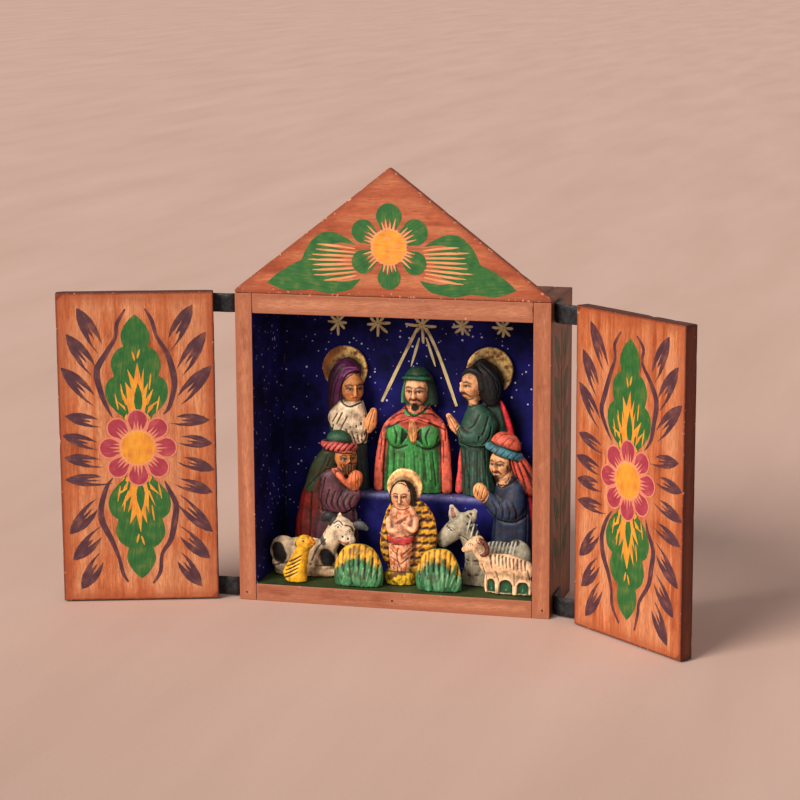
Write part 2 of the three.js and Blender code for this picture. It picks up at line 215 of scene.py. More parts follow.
# %% [markdown]
# ## The stained boards
# The boards are sawn softwood, coloured with a red-brown stain and rubbed thin by handling. Grain
# is a noise that is pulled out along the board. Where a board ends, more stain has soaked in or the
# paint is knocked off, so each mesh carries a value named rim, which is 1 at the edge of a board
# and falls to 0 over a few millimetres.


# %% Wood
def stained_wood(name, grain, pale, body, deep, edge, worn, soak=0.85, scuff=0.96):
    """Wood with its grain along an axis. soak and scuff are where the stain's and the wear's
    thresholds lie: a lower one spreads it further from the board's rim."""
    material, shader = start_material(name, {"Roughness": 0.5, "Specular IOR Level": 0.3})
    place = add_node(material, "TexCoord", {}, "Object")
    pulls = []
    for pull in (0.05, 0.13):
        scale = [pull if axis == grain else 1.0 for axis in "XYZ"]
        pulls.append(add_node(material, "Mapping", {"Vector": place, "Scale": scale}))
    along, short = pulls
    fibre = add_node(material, "TexNoise", {
        "Vector": short, "Scale": 1 / (0.55 * MM), "Detail": 5.0, "Roughness": 0.75})
    streak = add_node(material, "TexNoise", {
        "Vector": along, "Scale": 1 / (3.6 * MM), "Detail": 4.0, "Distortion": 0.5})
    patch = add_node(material, "TexNoise", {
        "Vector": place, "Scale": 1 / (19 * MM), "Detail": 5.0, "Roughness": 0.6})
    mixed = add_node(material, "Mix", {0: 0.55, 2: streak, 3: patch})
    tone = add_node(material, "ValToRGB", {"Fac": mixed, "stops": [
        (0.38, colour(deep)), (0.6, colour(pale)), (0.48, colour(body))]})
    shade = add_node(material, "MapRange", {
        "Value": fibre, "From Min": 0.3, "From Max": 0.7, "To Min": 0.5, "To Max": 1.4})
    grained = add_node(material, "VectorMath", {"operation": "SCALE", 0: tone, "Scale": shade})
    rim = add_node(material, "Attribute", {"attribute_name": "rim"}, "Fac")
    soaked = add_node(material, "Math", {"operation": "MULTIPLY_ADD", 0: patch, 1: 1.5, 2: rim})
    stain = add_node(material, "MapRange", {
        "Value": soaked, "From Min": soak, "From Max": soak + 0.75, "To Max": 0.8})
    stained = add_node(material, "Mix", {"data_type": "RGBA", 0: stain, 6: grained, 7: colour(deep)}, 2)
    ragged = add_node(material, "Math", {"operation": "MULTIPLY_ADD", 0: fibre, 1: 0.3, 2: rim})
    edging = add_node(material, "MapRange", {"Value": ragged, "From Min": 0.97, "From Max": 1.12})
    edged = add_node(material, "Mix", {"data_type": "RGBA", 0: edging, 6: stained, 7: colour(edge)}, 2)
    grit = add_node(material, "TexNoise", {
        "Vector": place, "Scale": 1 / (1.4 * MM), "Detail": 3.0, "Roughness": 0.6})
    near_rim = add_node(material, "Math", {"operation": "MULTIPLY_ADD", 0: rim, 1: 0.35, 2: grit})
    rubbed = add_node(material, "MapRange", {
        "Value": near_rim, "From Min": scuff, "From Max": scuff + 0.08, "To Max": 0.65})
    finished = add_node(material, "Mix", {"data_type": "RGBA", 0: rubbed, 6: edged, 7: colour(worn)}, 2)
    wear(material, shader, finished, fibre, 0.5, 0.2)
    return material


door_wood = stained_wood(
    "orange_stained_softwood", "Z", "#F0B080", "#CE7B4D", "#A04E2C", "#6E2E1A", "#E8B085", 0.72)
gable_wood = stained_wood(
    "orange_stained_softwood_flat_grain", "X", "#DE9568", "#BE6843", "#93452B", "#8A4228", "#EDAE82",
    0.85, 0.92)
post_wood = stained_wood(
    "brown_stained_softwood", "Z", "#DE9A70", "#BE7C5C", "#97573C", "#A5664A", "#E0AA86", 0.85, 0.98)
rail_wood = stained_wood(
    "brown_stained_softwood_flat_grain", "X", "#DC9C74", "#BC7C5E", "#95563C", "#A5664A", "#E4AE88",
    0.85, 0.98)
end_wood = stained_wood(
    "dark_stained_board_edge", "Z", "#8A4428", "#6A2F1C", "#4A1D12", "#401810", "#C08058")
outer_wood = stained_wood(
    "dark_brown_stained_outside", "Z", "#A86E50", "#8A5238", "#643626", "#6A3A28", "#C89070", 0.85, 0.98)
print("wood finishes: 6")

# %% [markdown]
# Inside, the box is covered with water paint: navy on the walls, dark green on the floor. The navy
# was flicked with white from a stiff brush. Each fleck is the cut that the surface makes through a
# small ball hanging in space, one ball to a Voronoi cell, which gives flecks of every size. Where a
# mesh asks for it, as the ledge's top front edge does, a pale band is painted in: a painted highlight.


# %% Water paint
def water_paint(name, shade, glow, flecks, spacings):
    """Flat water paint from shade to glow; one layer of flecks for each spacing, in millimetres."""
    material, shader = start_material(name, {"Roughness": 0.75, "Specular IOR Level": 0.12})
    place = add_node(material, "TexCoord", {}, "Object")
    cloud = add_node(material, "TexNoise", {
        "Vector": place, "Scale": 1 / (15 * MM), "Detail": 4.0, "Roughness": 0.65})
    brushed = add_node(material, "TexNoise", {"Vector": place, "Scale": 1 / (1.5 * MM), "Detail": 3.0})
    tone = add_node(material, "ValToRGB", {"Fac": cloud, "stops": [
        (0.36, colour(shade)), (0.66, colour(glow))]})
    for spacing in spacings:
        cells = add_node(material, "TexVoronoi", {
            "Vector": place, "Scale": 1 / (spacing * MM), "Randomness": 1.0}, "Distance")
        uneven = add_node(material, "Math", {"operation": "MULTIPLY_ADD", 0: cloud, 1: -0.5, 2: cells})
        dot = add_node(material, "MapRange", {
            "Value": uneven, "From Min": 0.2 / spacing - 0.25, "From Max": 0.38 / spacing - 0.25,
            "To Min": 1.0, "To Max": 0.0})
        tone = add_node(material, "Mix", {"data_type": "RGBA", 0: dot, 6: tone, 7: colour(flecks)}, 2)
    # painted highlight: where a mesh asks for it, the paint is made pale in patches
    rubbed = add_node(material, "Attribute", {"attribute_name": "rubbed"}, "Fac")
    highlight_patches = add_node(material, "Math", {"operation": "MULTIPLY", 0: rubbed, 1: brushed})
    tone = add_node(material, "Mix", {"data_type": "RGBA", 0: highlight_patches, 6: tone, 7: colour("#8C8CC4")}, 2)
    wear(material, shader, tone, brushed, 0.3, 0.12)
    return material


navy_paint = water_paint("navy_water_paint_with_white_flecks", "#08082E", "#1E1E70", "#D5D8F2", (2.9, 4.7))
green_paint = water_paint("dark_green_water_paint", "#2C3A22", "#4C5A34", "#5E6A40", (6.0,))

# %% [markdown]
# ## Drawing on a board
# A board is easiest to draw flat. A canvas is a matrix whose first two columns run across and up
# the painted face and whose third comes out of it, so a point (across, up, out) on any board, even
# on a door that stands open, lands where it belongs. The doors' canvases are laid on the shut doors
# and then turned about their hinge lines, which the frame's joints give.


# %% Canvases
def canvas(origin, across, out):
    """The matrix of a drawing plane, from its origin and two of its directions."""
    across, out = Vector(across), Vector(out)
    up = out.cross(across)
    turn = Matrix((across, up, out)).transposed()
    return Matrix.Translation(origin) @ turn.to_4x4()


SHUT_FACE = -22.5  # the inner face of a shut door, half a millimetre before the box
DOOR = {"width": 62.0, "height": 125.0, "thickness": 5.5, "lift": 0.5, "from_middle": 31.5}
front, back = node_box("left_side")[0].y, node_box("left_side")[1].y


def door_canvas(joint, side):
    """The inner face of a door at rest: origin at the middle of its bottom edge."""
    shut_angle = max(joint["range_deg"], key=abs)
    hinge = Vector(joint["pos_m"]) / MM
    opened = Matrix.Rotation(math.radians(-shut_angle), 4, "Z")
    shut = canvas((side * DOOR["from_middle"], SHUT_FACE, DOOR["lift"]), (-1, 0, 0), (0, 1, 0))
    return Matrix.Translation(hinge) @ opened @ Matrix.Translation(-hinge) @ shut


joints = {joint["child"]: joint for joint in frame["joints"]}
panel_low = node_box("back_panel")[0]
canvases = {
    "left_side": canvas((node_box("left_side")[1].x, front, 0), (0, 1, 0), (1, 0, 0)),
    "right_side": canvas((node_box("right_side")[0].x, back, 0), (0, -1, 0), (-1, 0, 0)),
    "floor_board": canvas((0, front, node_box("floor_board")[1].z), (1, 0, 0), (0, 0, 1)),
    "top_board": canvas((0, back, node_box("top_board")[0].z), (1, 0, 0), (0, 0, -1)),
    "back_panel": canvas((0, panel_low.y, panel_low.z), (1, 0, 0), (0, -1, 0)),
    "gable": canvas((0, front, node_box("gable")[0].z), (1, 0, 0), (0, -1, 0)),
    "left_door": door_canvas(joints["left_door"], -1), "right_door": door_canvas(joints["right_door"], 1),
    "front": canvas((0, front, 0), (1, 0, 0), (0, -1, 0)),
    "left_outside": canvas((node_box("left_side")[0].x, back, 0), (0, -1, 0), (-1, 0, 0)),
    "right_outside": canvas((node_box("right_side")[1].x, front, 0), (0, 1, 0), (1, 0, 0)),
}
print("canvases:", ", ".join(canvases))

# %% [markdown]
# A board starts as one outline that is extruded to its thickness. Its edges are bevelled, then the
# whole board is sliced into cells a few millimetres wide with bisect_plane, so that there are enough
# points to carry the rim value and to wander a little, as a hand-sawn edge does. The points only
# ever move inwards, so a board never grows past its solid.

# %% Boards
CELL = 3.0
EDGE_RADIUS = 0.3
RIM_WIDTH = 4.5  # how far the stain of an edge reaches in
WORN_BAND = 0.7  # only points this near the outline move
WANDER = {"waves": 0.09, "depth": 0.1}  # the slow wander of a sawn edge
NICK = {"waves": 0.45, "depth": 0.9, "rarity": 0.32}  # its rare small dents
SQUARE = 0.9  # a face looks along an axis when its normal's share of it is over this


def extrude_outline(corners, push):
    """A slab: the flat face between the corners, extruded along a vector."""
    bm = bmesh.new()
    face = bm.faces.new([bm.verts.new(corner) for corner in corners])
    pushed = bmesh.ops.extrude_face_region(bm, geom=[face])["geom"]
    bmesh.ops.translate(bm, verts=[e for e in pushed if isinstance(e, bmesh.types.BMVert)], vec=push)
    bmesh.ops.recalc_face_normals(bm, faces=bm.faces)
    return bm


def round_edges(bm, edges, radius, segments, clamp=False):
    bmesh.ops.bevel(bm, geom=edges, offset=radius, segments=segments, profile=0.5, affect="EDGES",
                    material=-1, clamp_overlap=clamp)


def slice_mesh(bm, spot, direction):
    """Cuts every face that the plane through the spot crosses in two."""
    bmesh.ops.bisect_plane(bm, geom=bm.verts[:] + bm.edges[:] + bm.faces[:], plane_co=spot,
                           plane_no=direction, dist=1e-4)


def side_gaps(u, v, outline):
    """How far a point lies from each side of an outline, the nearest first."""
    point, gaps = Vector((u, v)), []
    for start, end in zip(outline, outline[1:] + outline[:1]):
        side = Vector(end) - Vector(start)
        share = max(0.0, min(1.0, (point - Vector(start)).dot(side) / side.length_squared))
        gaps.append((point - Vector(start) - side * share).length)
    return sorted(gaps)


def finish_mesh(name, bm, materials, place=Matrix.Identity(4)):
    """Turns a bmesh in millimetres into an object in metres at the origin."""
    bmesh.ops.transform(bm, matrix=Matrix.Scale(MM, 4) @ place, verts=bm.verts)
    data = bpy.data.meshes.new(name)
    bm.to_mesh(data)
    bm.free()
    for material in materials:
        data.materials.append(material)
    piece = bpy.data.objects.new(name, data)
    scene.collection.objects.link(piece)
    return piece


def make_board(node, outline, thickness, wood, inside=None, sides=None, outer=None):
    """A worn board behind its canvas. inside is the finish of the canvas face, sides of the edges,
    outer of the far face and the top end."""
    bm = extrude_outline([(u, v, 0) for u, v in outline], (0, 0, -thickness))
    round_edges(bm, bm.edges[:], EDGE_RADIUS, 2, clamp=True)
    spans = [[corner[0] for corner in outline], [corner[1] for corner in outline], [-thickness, 0]]
    for axis, span in enumerate(spans):
        slices = round((max(span) - min(span)) / CELL)
        direction = Vector((axis == 0, axis == 1, axis == 2))
        for i in range(1, slices):
            slice_mesh(bm, direction * (min(span) + (max(span) - min(span)) * i / slices), direction)
    rim = bm.verts.layers.float.new("rim")
    middle = Vector((sum(u for u, v in outline), sum(v for u, v in outline), 0)) / len(outline)
    for v in bm.verts:
        gaps = side_gaps(v.co.x, v.co.y, outline)
        v[rim] = math.exp(-sorted(gaps + [-v.co.z, v.co.z + thickness])[1] / RIM_WIDTH)
        if gaps[0] < WORN_BAND:
            inward = (Vector((middle.x, middle.y, v.co.z)) - v.co).normalized()
            wander = 0.5 + 0.5 * noise.noise(v.co * WANDER["waves"] + Vector((len(node), 0, 0)))
            nick = noise.noise(v.co * NICK["waves"] + Vector((0, len(node), 5))) - NICK["rarity"]
            v.co += inward * (WANDER["depth"] * wander + NICK["depth"] * max(0.0, nick))
    for f in bm.faces:
        f.smooth = False
        if inside and f.normal.z > SQUARE:
            f.material_index = 1
        if sides and abs(f.normal.z) < 0.5:
            f.material_index = 1
        if outer and (f.normal.z < -SQUARE or (f.normal.y > SQUARE and node.endswith("side"))):
            f.material_index = 2
    return finish_mesh(node + "_board", bm, [wood, inside or sides or wood, outer or wood], canvases[node])


def rectangle(left, right, bottom, top):
    return [(left, bottom), (right, bottom), (right, top), (left, top)]


def dress(piece, node, body):
    """Lets a piece stand for a solid and move with a body."""
    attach(piece, body)
    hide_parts(node)


JOINT = 0.28  # boards are glued, so they reach across the air that the solids leave between them
depth = back - front
sides_height = node_box("left_side")[1].z
half_inside = node_box("floor_board")[1].x
side_thickness = node_box("left_side")[1].x - node_box("left_side")[0].x
upright = rectangle(0, depth, 0, sides_height)
for node in ("left_side", "right_side"):
    piece = make_board(node, upright, side_thickness, post_wood, navy_paint, outer=outer_wood)
    dress(piece, node, "box")
half_rail = half_inside + JOINT
level = rectangle(-half_rail, half_rail, 0, depth)
for node, paint in (("floor_board", green_paint), ("top_board", navy_paint)):
    low, high = node_box(node)
    piece = make_board(node, level, high.z - low.z, rail_wood, paint, outer=outer_wood)
    dress(piece, node, "box")
low, high = node_box("back_panel")
panel = rectangle(low.x, high.x, 0, high.z - low.z)
piece = make_board("back_panel", panel, high.y - low.y, rail_wood, navy_paint)
dress(piece, "back_panel", "box")

GABLE_CORNER = 1.0
low, high = node_box("gable")
gable_rise = high.z - low.z
gable_outline = [(low.x, -JOINT), (high.x, -JOINT), (high.x, GABLE_CORNER), (0, gable_rise),
                 (low.x, GABLE_CORNER)]
dress(make_board("gable", gable_outline, high.y - low.y, gable_wood), "gable", "box")

half_door = DOOR["width"] / 2
door_outline = rectangle(-half_door, half_door, 0, DOOR["height"])
for node in ("left_door", "right_door"):
    dress(make_board(node, door_outline, DOOR["thickness"], door_wood, sides=end_wood),
          node, node)

# %% [markdown]
# ## Folk flowers
# The ornament is the common folk kind: a flower with leaves above and below it and a fan of slit
# leaves on both sides. A painter fills a leaf with a loaded brush and lets its end break up into
# bristle marks, so a shape is built as an outline of smooth curves that meet in points, and filled.
# Thin lines are strokes: a narrow grid bent along a smooth line. The film of paint has a real
# thickness, a twentieth of a millimetre, and each shape lies a hair above the last one, so that no
# two films share a plane.

# %% Patches and strokes
FILM = 0.05  # thickness of a dry film of paint
LAYER = 0.0015  # how much higher each new shape lies than the one before
WOBBLE = 0.09  # how far a hand strays from the line it means to draw
NEXT_STREAKS = 3  # each shape reads streaks this far beside those of the one before
LANDING = 0.3  # the least width, in millimetres, over which a stroke swells from its start


def smooth_line(points, t):
    """The point at share t of a smooth line through all the points."""
    last = len(points) - 1
    i = min(int(t * last), last - 1)
    local = t * last - i
    a, b = Vector(points[max(i - 1, 0)]), Vector(points[i])
    c, d = Vector(points[i + 1]), Vector(points[min(i + 2, last)])
    return 0.5 * (2 * b + (c - a) * local + (2 * a - 5 * b + 4 * c - d) * local ** 2
                  + (3 * b - a - 3 * c + d) * local ** 3)


def smooth_value(values, t):
    """The same for a list of plain numbers, such as widths."""
    return smooth_line([(v, 0) for v in values], t).x


class Picture:
    """The shapes of one painting, drawn in (across, up) millimetres on a canvas."""

    def __init__(self, seed):
        self.bm = bmesh.new()
        self.uv = self.bm.loops.layers.uv.new("brush")
        self.count = 0
        self.random = random.Random(seed)

    def next_height(self):
        self.count += 1
        return FILM + self.count * LAYER

    def patch(self, curves, paint, brush=90):
        """Fills an outline of curves that follow each other. brush is the angle of the streaks."""
        outline = []
        for curve in curves:
            steps = 5 * (len(curve) - 1) if len(curve) > 2 else 2
            outline += [smooth_line(curve, i / steps) for i in range(steps)]
        if sum(p.cross(q) for p, q in zip(outline, outline[1:] + outline[:1])) < 0:
            outline.reverse()  # so that every film faces out of the canvas
        ring = bmesh.ops.create_circle(self.bm, cap_ends=True, segments=len(outline), radius=1)["verts"]
        height = self.next_height()
        for v, spot in zip(ring, outline):
            v.co = (spot.x + self.random.uniform(-WOBBLE, WOBBLE),
                    spot.y + self.random.uniform(-WOBBLE, WOBBLE), height)
        filled = bmesh.ops.triangulate(self.bm, faces=list({f for v in ring for f in v.link_faces}))
        turn = Matrix.Rotation(math.radians(90 - brush), 2)
        for f in filled["faces"]:
            f.material_index = paint
            for loop in f.loops:
                loop[self.uv].uv = turn @ loop.vert.co.xy + Vector((NEXT_STREAKS * self.count, 0))

    def stroke(self, points, widths, paint, steps=10):
        """A line along the points; widths are spread evenly from its start to its end."""
        grid = bmesh.ops.create_grid(self.bm, x_segments=2, y_segments=steps, size=1.0)
        height = self.next_height()
        length = sum((Vector(b) - Vector(a)).length for a, b in zip(points, points[1:]))
        brush_place = {}
        for v in grid["verts"]:
            side, t = v.co.x, (1 - math.cos(math.pi * (v.co.y + 1) / 2)) / 2
            spot = smooth_line(points, t)
            ahead = smooth_line(points, min(t + 0.01, 1)) - smooth_line(points, max(t - 0.01, 0))
            across = Vector((ahead.y, -ahead.x)).normalized()
            landing = min(1.0, t * length / max(widths[0], LANDING))
            half = 0.5 * max(smooth_value(widths, t), 0.06) * math.sqrt(1 - (1 - landing) ** 2)
            brush_place[v] = (side * half + NEXT_STREAKS * self.count, t * length)
            v.co = (*(spot + across * side * max(half, 0.02)), height)
        for f in {f for v in grid["verts"] for f in v.link_faces}:
            f.material_index = paint
            for loop in f.loops:
                loop[self.uv].uv = brush_place[loop.vert]

    def hang(self, name, node, body, materials, lift=0):
        """Gives the film its thickness and lays the picture on a board's canvas."""
        bmesh.ops.solidify(self.bm, geom=self.bm.faces[:], thickness=FILM)
        bmesh.ops.recalc_face_normals(self.bm, faces=self.bm.faces)
        for f in self.bm.faces:
            f.smooth = False
        place = canvases[node] @ Matrix.Translation((0, lift, 0))
        piece = finish_mesh(name, self.bm, materials, place)
        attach(piece, body)
        print(name + ":", self.count, "shapes")
        return piece


print("a film of paint is", FILM, "mm thick")

# %% [markdown]
# Brushed paint is not even. The bristles leave streaks that run with the stroke, thick paint beside
# thin, so the material reads the stroke's own map: across it the streaks are well under a
# millimetre apart, along it they hardly change. A thin streak takes the wood's warm colour.


# %% Brushed paint
def brushed_paint(name, thin, body, thick, roughness=0.5):
    material, shader = start_material(name, {"Roughness": roughness, "Specular IOR Level": 0.35})
    place = add_node(material, "UVMap", {"uv_map": "brush"})
    pulled = add_node(material, "Mapping", {"Vector": place, "Scale": (1.5, 0.14, 1.0)})
    streak = add_node(material, "TexNoise", {
        "Vector": pulled, "Scale": 1.0, "Detail": 4.0, "Roughness": 0.65})
    load = add_node(material, "TexNoise", {"Vector": place, "Scale": 0.22, "Detail": 3.0})
    cover = add_node(material, "Mix", {0: 0.5, 2: streak, 3: load})
    tone = add_node(material, "ValToRGB", {"Fac": cover, "stops": [
        (0.36, colour(thin)), (0.66, colour(thick)), (0.48, colour(body))]})
    wear(material, shader, tone, streak, 0.3, 0.05)
    return material


CRIMSON, LEAF, PLUM, OCHRE, CREAM, PINK, SHADE_GREEN = range(7)
flower_paints = [
    brushed_paint("crimson_brushed_paint", "#B8545A", "#A63C4C", "#962C40"),
    brushed_paint("leaf_green_brushed_paint", "#5E7438", "#2F6A30", "#1C582C"),
    brushed_paint("plum_brown_brushed_paint", "#7E4E44", "#56343C", "#3E2432"),
    brushed_paint("ochre_yellow_brushed_paint", "#D27C36", "#E29630", "#F0AC3E"),
    brushed_paint("pale_wash_brushed_paint", "#D28454", "#DC9664", "#E6A678"),
    brushed_paint("pink_wash_brushed_paint", "#D07E5C", "#D88468", "#DC8C74"),
    brushed_paint("shade_green_brushed_paint", "#5A5230", "#3E4A28", "#33421F"),
]


# %% [markdown]
# The door's ornament is drawn about the flower's centre, and its measures are taken from there.
# A petal is most of a circle whose inner side is a comb; a slit leaf is a pointed oval that is cut
# into strands from its root; the big leaf has three lobes a side, and a flame of ochre at its foot.

# %% Petals and hearts
PETAL = {"round": 128, "teeth": ((-0.2, 0.34), (-1.18, 0.12), (0.05, -0.04), (-1.25, -0.2), (-0.3, -0.4),
                                 (-1.1, -0.52))}


def draw_petal(picture, centre, angle, ring, radius, paint, wash=None):
    """One petal: most of a circle, with bristle marks that run in towards the flower's centre."""
    out = Vector((math.cos(angle), math.sin(angle)))
    side = Vector((-out.y, out.x))
    middle = Vector(centre) + out * ring
    at = lambda o, s: middle + radius * (out * o + side * s)
    if wash is not None:
        bow = [math.radians(d) for d in range(-150, 151, 30)]
        picture.patch([[at(1.16 * math.cos(a), 1.16 * math.sin(a)) for a in bow],
                       [at(-1, 0.58), at(-1, -0.58)]], wash)
    sweep = [math.radians(-PETAL["round"] + 2 * PETAL["round"] * i / 8) for i in range(9)]
    arc = [at(math.cos(a), math.sin(a)) for a in sweep]
    teeth = [at(o + picture.random.uniform(-0.12, 0.12), s) for o, s in PETAL["teeth"]]
    comb = [arc[-1], at(-1.25, 0.5)] + teeth + [arc[0]]
    curves = [arc] + [[a, b] for a, b in zip(comb, comb[1:])]
    picture.patch(curves, paint, math.degrees(angle))


def draw_heart(picture, centre, radius, paint, points, raggedness, brush=90):
    """A round patch with a ragged rim."""
    rim = []
    for i in range(2 * points):
        turn = math.pi * (i + picture.random.uniform(-0.25, 0.25)) / points
        reach = radius * (1 + raggedness * (i % 2) * picture.random.uniform(0.4, 1))
        rim.append(Vector(centre) + reach * Vector((math.cos(turn), math.sin(turn))))
    picture.patch([[a, b] for a, b in zip(rim, rim[1:] + rim[:1])], paint, brush)


# %% Leaves
def draw_slit_leaf(picture, tip, root, paint, width=2.7, turn=1):
    """A leaf with a pointed tip, cut into strands towards its root. turn swaps its two edges."""
    tip, root = Vector(tip), Vector(root)
    run = root - tip
    side = Vector((-run.y, run.x)).normalized() * width * turn
    stray = lambda: picture.random.uniform(-0.06, 0.06)
    at = lambda t, s: tip + run * t + side * s
    slits = [(0.50 + stray(), 0.36), (0.40 + stray(), -0.1)]
    ends = [(1.0 + stray(), 0.62), (0.74 + stray(), 0.1), (0.86 + stray(), -0.5)]
    picture.patch([
        [at(0, 0), at(0.16, 0.62), at(0.38, 1.0), at(0.7, 1.02), at(*ends[0])],
        [at(*ends[0]), at(0.75, 0.66), at(*slits[0])], [at(*slits[0]), at(0.62, 0.22), at(*ends[1])],
        [at(*ends[1]), at(0.58, -0.04), at(*slits[1])], [at(*slits[1]), at(0.64, -0.36), at(*ends[2])],
        [at(*ends[2]), at(0.62, -0.94), at(0.36, -1.0), at(0.14, -0.58), at(0, 0)],
    ], paint, math.degrees(math.atan2(run.y, run.x)))


BIG_LEAF = [  # the right-hand lobes, from the tip down to the foot
    [(0, 53.7), (2.9, 51.2), (5.2, 47.4), (5.7, 44.2), (4.9, 41.0)],
    [(4.9, 41.0), (7.9, 38.9), (9.6, 35.6), (9.7, 32.4), (8.7, 29.2)],
    [(8.7, 29.2), (11.4, 26.8), (12.4, 22.6), (11.2, 18.4), (8.2, 14.8), (4.8, 12.2)],
]
FLAME = [(6.0, 11.6), (4.6, 14.4), (8.8, 18.8), (4.5, 16.6), (7.0, 23.8), (3.4, 19.4), (4.4, 26.6),
         (2.3, 22.8), (3.6, 31.6), (1.5, 27.6), (0.6, 34.4)]


def draw_big_leaf(picture, way):
    """The leaf above (way 1) or below (way -1) the flower."""
    jitter = lambda: picture.random.uniform(-0.7, 0.7)
    sway = picture.random.uniform(-0.6, 0.6)
    left = [[(-x, y) for x, y in reversed(lobe)] for lobe in reversed(BIG_LEAF)]
    foot = [left[0][0], BIG_LEAF[-1][-1]]
    outline = BIG_LEAF + [list(reversed(foot))] + left
    picture.patch([[(x + sway * y / 54, way * y) for x, y in curve] for curve in outline], LEAF, 84)
    right = [(x + jitter(), way * (y + jitter())) for x, y in FLAME]
    left = [(-x + jitter(), way * (y + jitter())) for x, y in reversed(FLAME[:-1])]
    flame = right + left
    picture.patch([[a, b] for a, b in zip(flame, flame[1:] + flame[:1])], OCHRE, 90)
    for x, y in ((-1.4, 37.4), (1.6, 38.2)):
        picture.stroke([(x * 0.3, way * (y - 2.2)), (x, way * (y + 1.6))], [0.3, 0.9, 0.2], OCHRE, 5)
    lens = [(0.2, 13), (1.7, 17.4), (1.6, 21.6), (0.2, 26.4)]
    picture.patch([[(x + 0.4, way * y) for x, y in lens],
                   [(0.8 - x, way * y) for x, y in reversed(lens)]], LEAF, 90)
    for x, y in ((-8.6, 22), (-6.2, 26), (9.0, 21), (5.8, 30)):
        picture.stroke([(x, way * y), (x * 0.86, way * (y - 6.5))], [0.2, 0.7, 0.3], OCHRE, 6)
    for x in (-5.4, -3.4, 3.2, 5.6):
        picture.stroke([(x * 1.3, way * 17.5), (x * 0.9, way * 10.8)], [1.1, 0.9, 0.2], LEAF, 6)


STEM = [(4.6, 56), (7.6, 50.5), (7.8, 44.5), (11.6, 38), (14.6, 31), (15.0, 24), (12.2, 17), (9.6, 13.0)]


def draw_stem(picture, way, side):
    """The stem beside a big leaf, from its thin tip to the flower."""
    jitter = picture.random.uniform
    moved = [(side * x + jitter(-1, 1), way * y + jitter(-1, 1)) for x, y in STEM]
    picture.stroke(moved, [0.7, 1.5, 1.4, 2.0, 2.5, 2.2, 1.6, 0.3], PLUM, 28)


# %% Paint the doors
FANS = {  # (tip, root) of the slit leaves: by the upper big leaf, by the lower one
    1: [((22.8, 57.2), (12.6, 39.6)), ((27.6, 46.4), (16.2, 30.0)), ((29.2, 33.2), (15.2, 18.0))],
    -1: [((28.3, -35.0), (15.0, -21.0)), ((27.3, -46.4), (15.4, -34.2)), ((24.0, -58.0), (14.6, -43.6))],
}
FLOWER_FANS = {  # the same beside the flower, where the leaves of both sides droop to the right
    -1: [((28.8, 13.8), (13.8, 9.4)), ((30.2, 5.2), (15.4, 1.0)), ((29.8, -4.0), (13.4, -6.0)),
         ((29.8, -13.2), (11.6, -13.0))],
    1: [((28.6, 11.2), (12.8, 10.8)), ((29.8, 0.8), (15.4, 3.2)), ((30.2, -9.6), (15.2, -4.6)),
        ((30.0, -19.0), (14.6, -13.0))],
}


def paint_door(node, seed):
    picture = Picture(seed)
    jitter = lambda: picture.random.uniform(-0.7, 0.7)
    for way in (1, -1):
        draw_big_leaf(picture, way)
        for side in (-1, 1):
            draw_stem(picture, way, side)
    beds = [(way, side, leaves, 2.9) for way, leaves in FANS.items() for side in (-1, 1)]
    beds += [(1, side, leaves, 2.4) for side, leaves in FLOWER_FANS.items()]
    for way, side, leaves, width in beds:
        for tip, root in leaves:
            start = (side * tip[0] + jitter(), tip[1] + jitter())
            end = (side * root[0] + jitter(), root[1] + jitter())
            draw_slit_leaf(picture, start, end, PLUM, width, side * way)
    draw_heart(picture, (0, 0), 9.0, PINK, 24, 0.22)
    for i in range(8):
        draw_petal(picture, (0, 0), math.radians(90 + 45 * i), 11.3, 3.75, CRIMSON, PINK)
    draw_heart(picture, (0, 0), 7.1, CREAM, 26, 0.12)
    draw_heart(picture, (0, 0), 6.5, OCHRE, 30, 0.08)
    picture.hang(node + "_painting", node, node, flower_paints, DOOR["height"] / 2)


paint_door("left_door", 11)
paint_door("right_door", 23)

# %% [markdown]
# The gable has a green flower with an ochre heart between two big leaves. The leaves are brushed
# from their tips towards the flower, so their inner ends break up into strands: green strokes that
# run on from the leaf, and pale ones between them that start inside it.

# %% Paint the gable
GABLE_FLOWER = (-0.4, 19.4)
GABLE_LEAF = [
    [(50, 4), (45.8, 7.8), (40.4, 11.2), (35.6, 13.6)],
    [(35.6, 13.6), (34.2, 17.0), (31.6, 21.0), (27.4, 24.2), (22.6, 24.6), (18.0, 22.8), (13.4, 19.8)],
    [(13.4, 19.8), (20.0, 20.6), (25.6, 18.6), (28.0, 14.0), (27.0, 8.0), (21.0, 5.4), (11.8, 6.6)],
    [(11.8, 6.6), (15.4, 2.8), (20.6, 1.2), (26.4, 0.7), (32.2, 2.0)],
    [(32.2, 2.0), (36.6, 1.5), (43.0, 1.4), (50, 4)],
]
gable_picture = Picture(5)
STRANDS = 15
for side in (-1, 1):
    gable_picture.patch([[(side * x, y) for x, y in curve] for curve in GABLE_LEAF], LEAF, side * 8)
    for i in range(STRANDS):
        share = (i + 0.5) / STRANDS
        swell = math.sin(math.pi * share)
        stray = gable_picture.random.uniform
        wide, narrow = 5.2 + 15.2 * share, 7.6 + 11.2 * share
        pale = i % 2 == 0
        outer_end = 24 + 5 * swell + (stray(1, 5) if pale else 2.5)
        inner_end = 13 + (stray(0, 1.5) if pale else stray(0, 6))
        gable_picture.stroke(
            [(side * outer_end, wide), (side * (outer_end + inner_end) / 2, 0.6 * wide + 0.4 * narrow),
             (side * inner_end, narrow)],
            [0.2, 1.0, 0.8, 0.4] if pale else [2.0, 1.1, 0.7, 0.1], CREAM if pale else LEAF, 8)
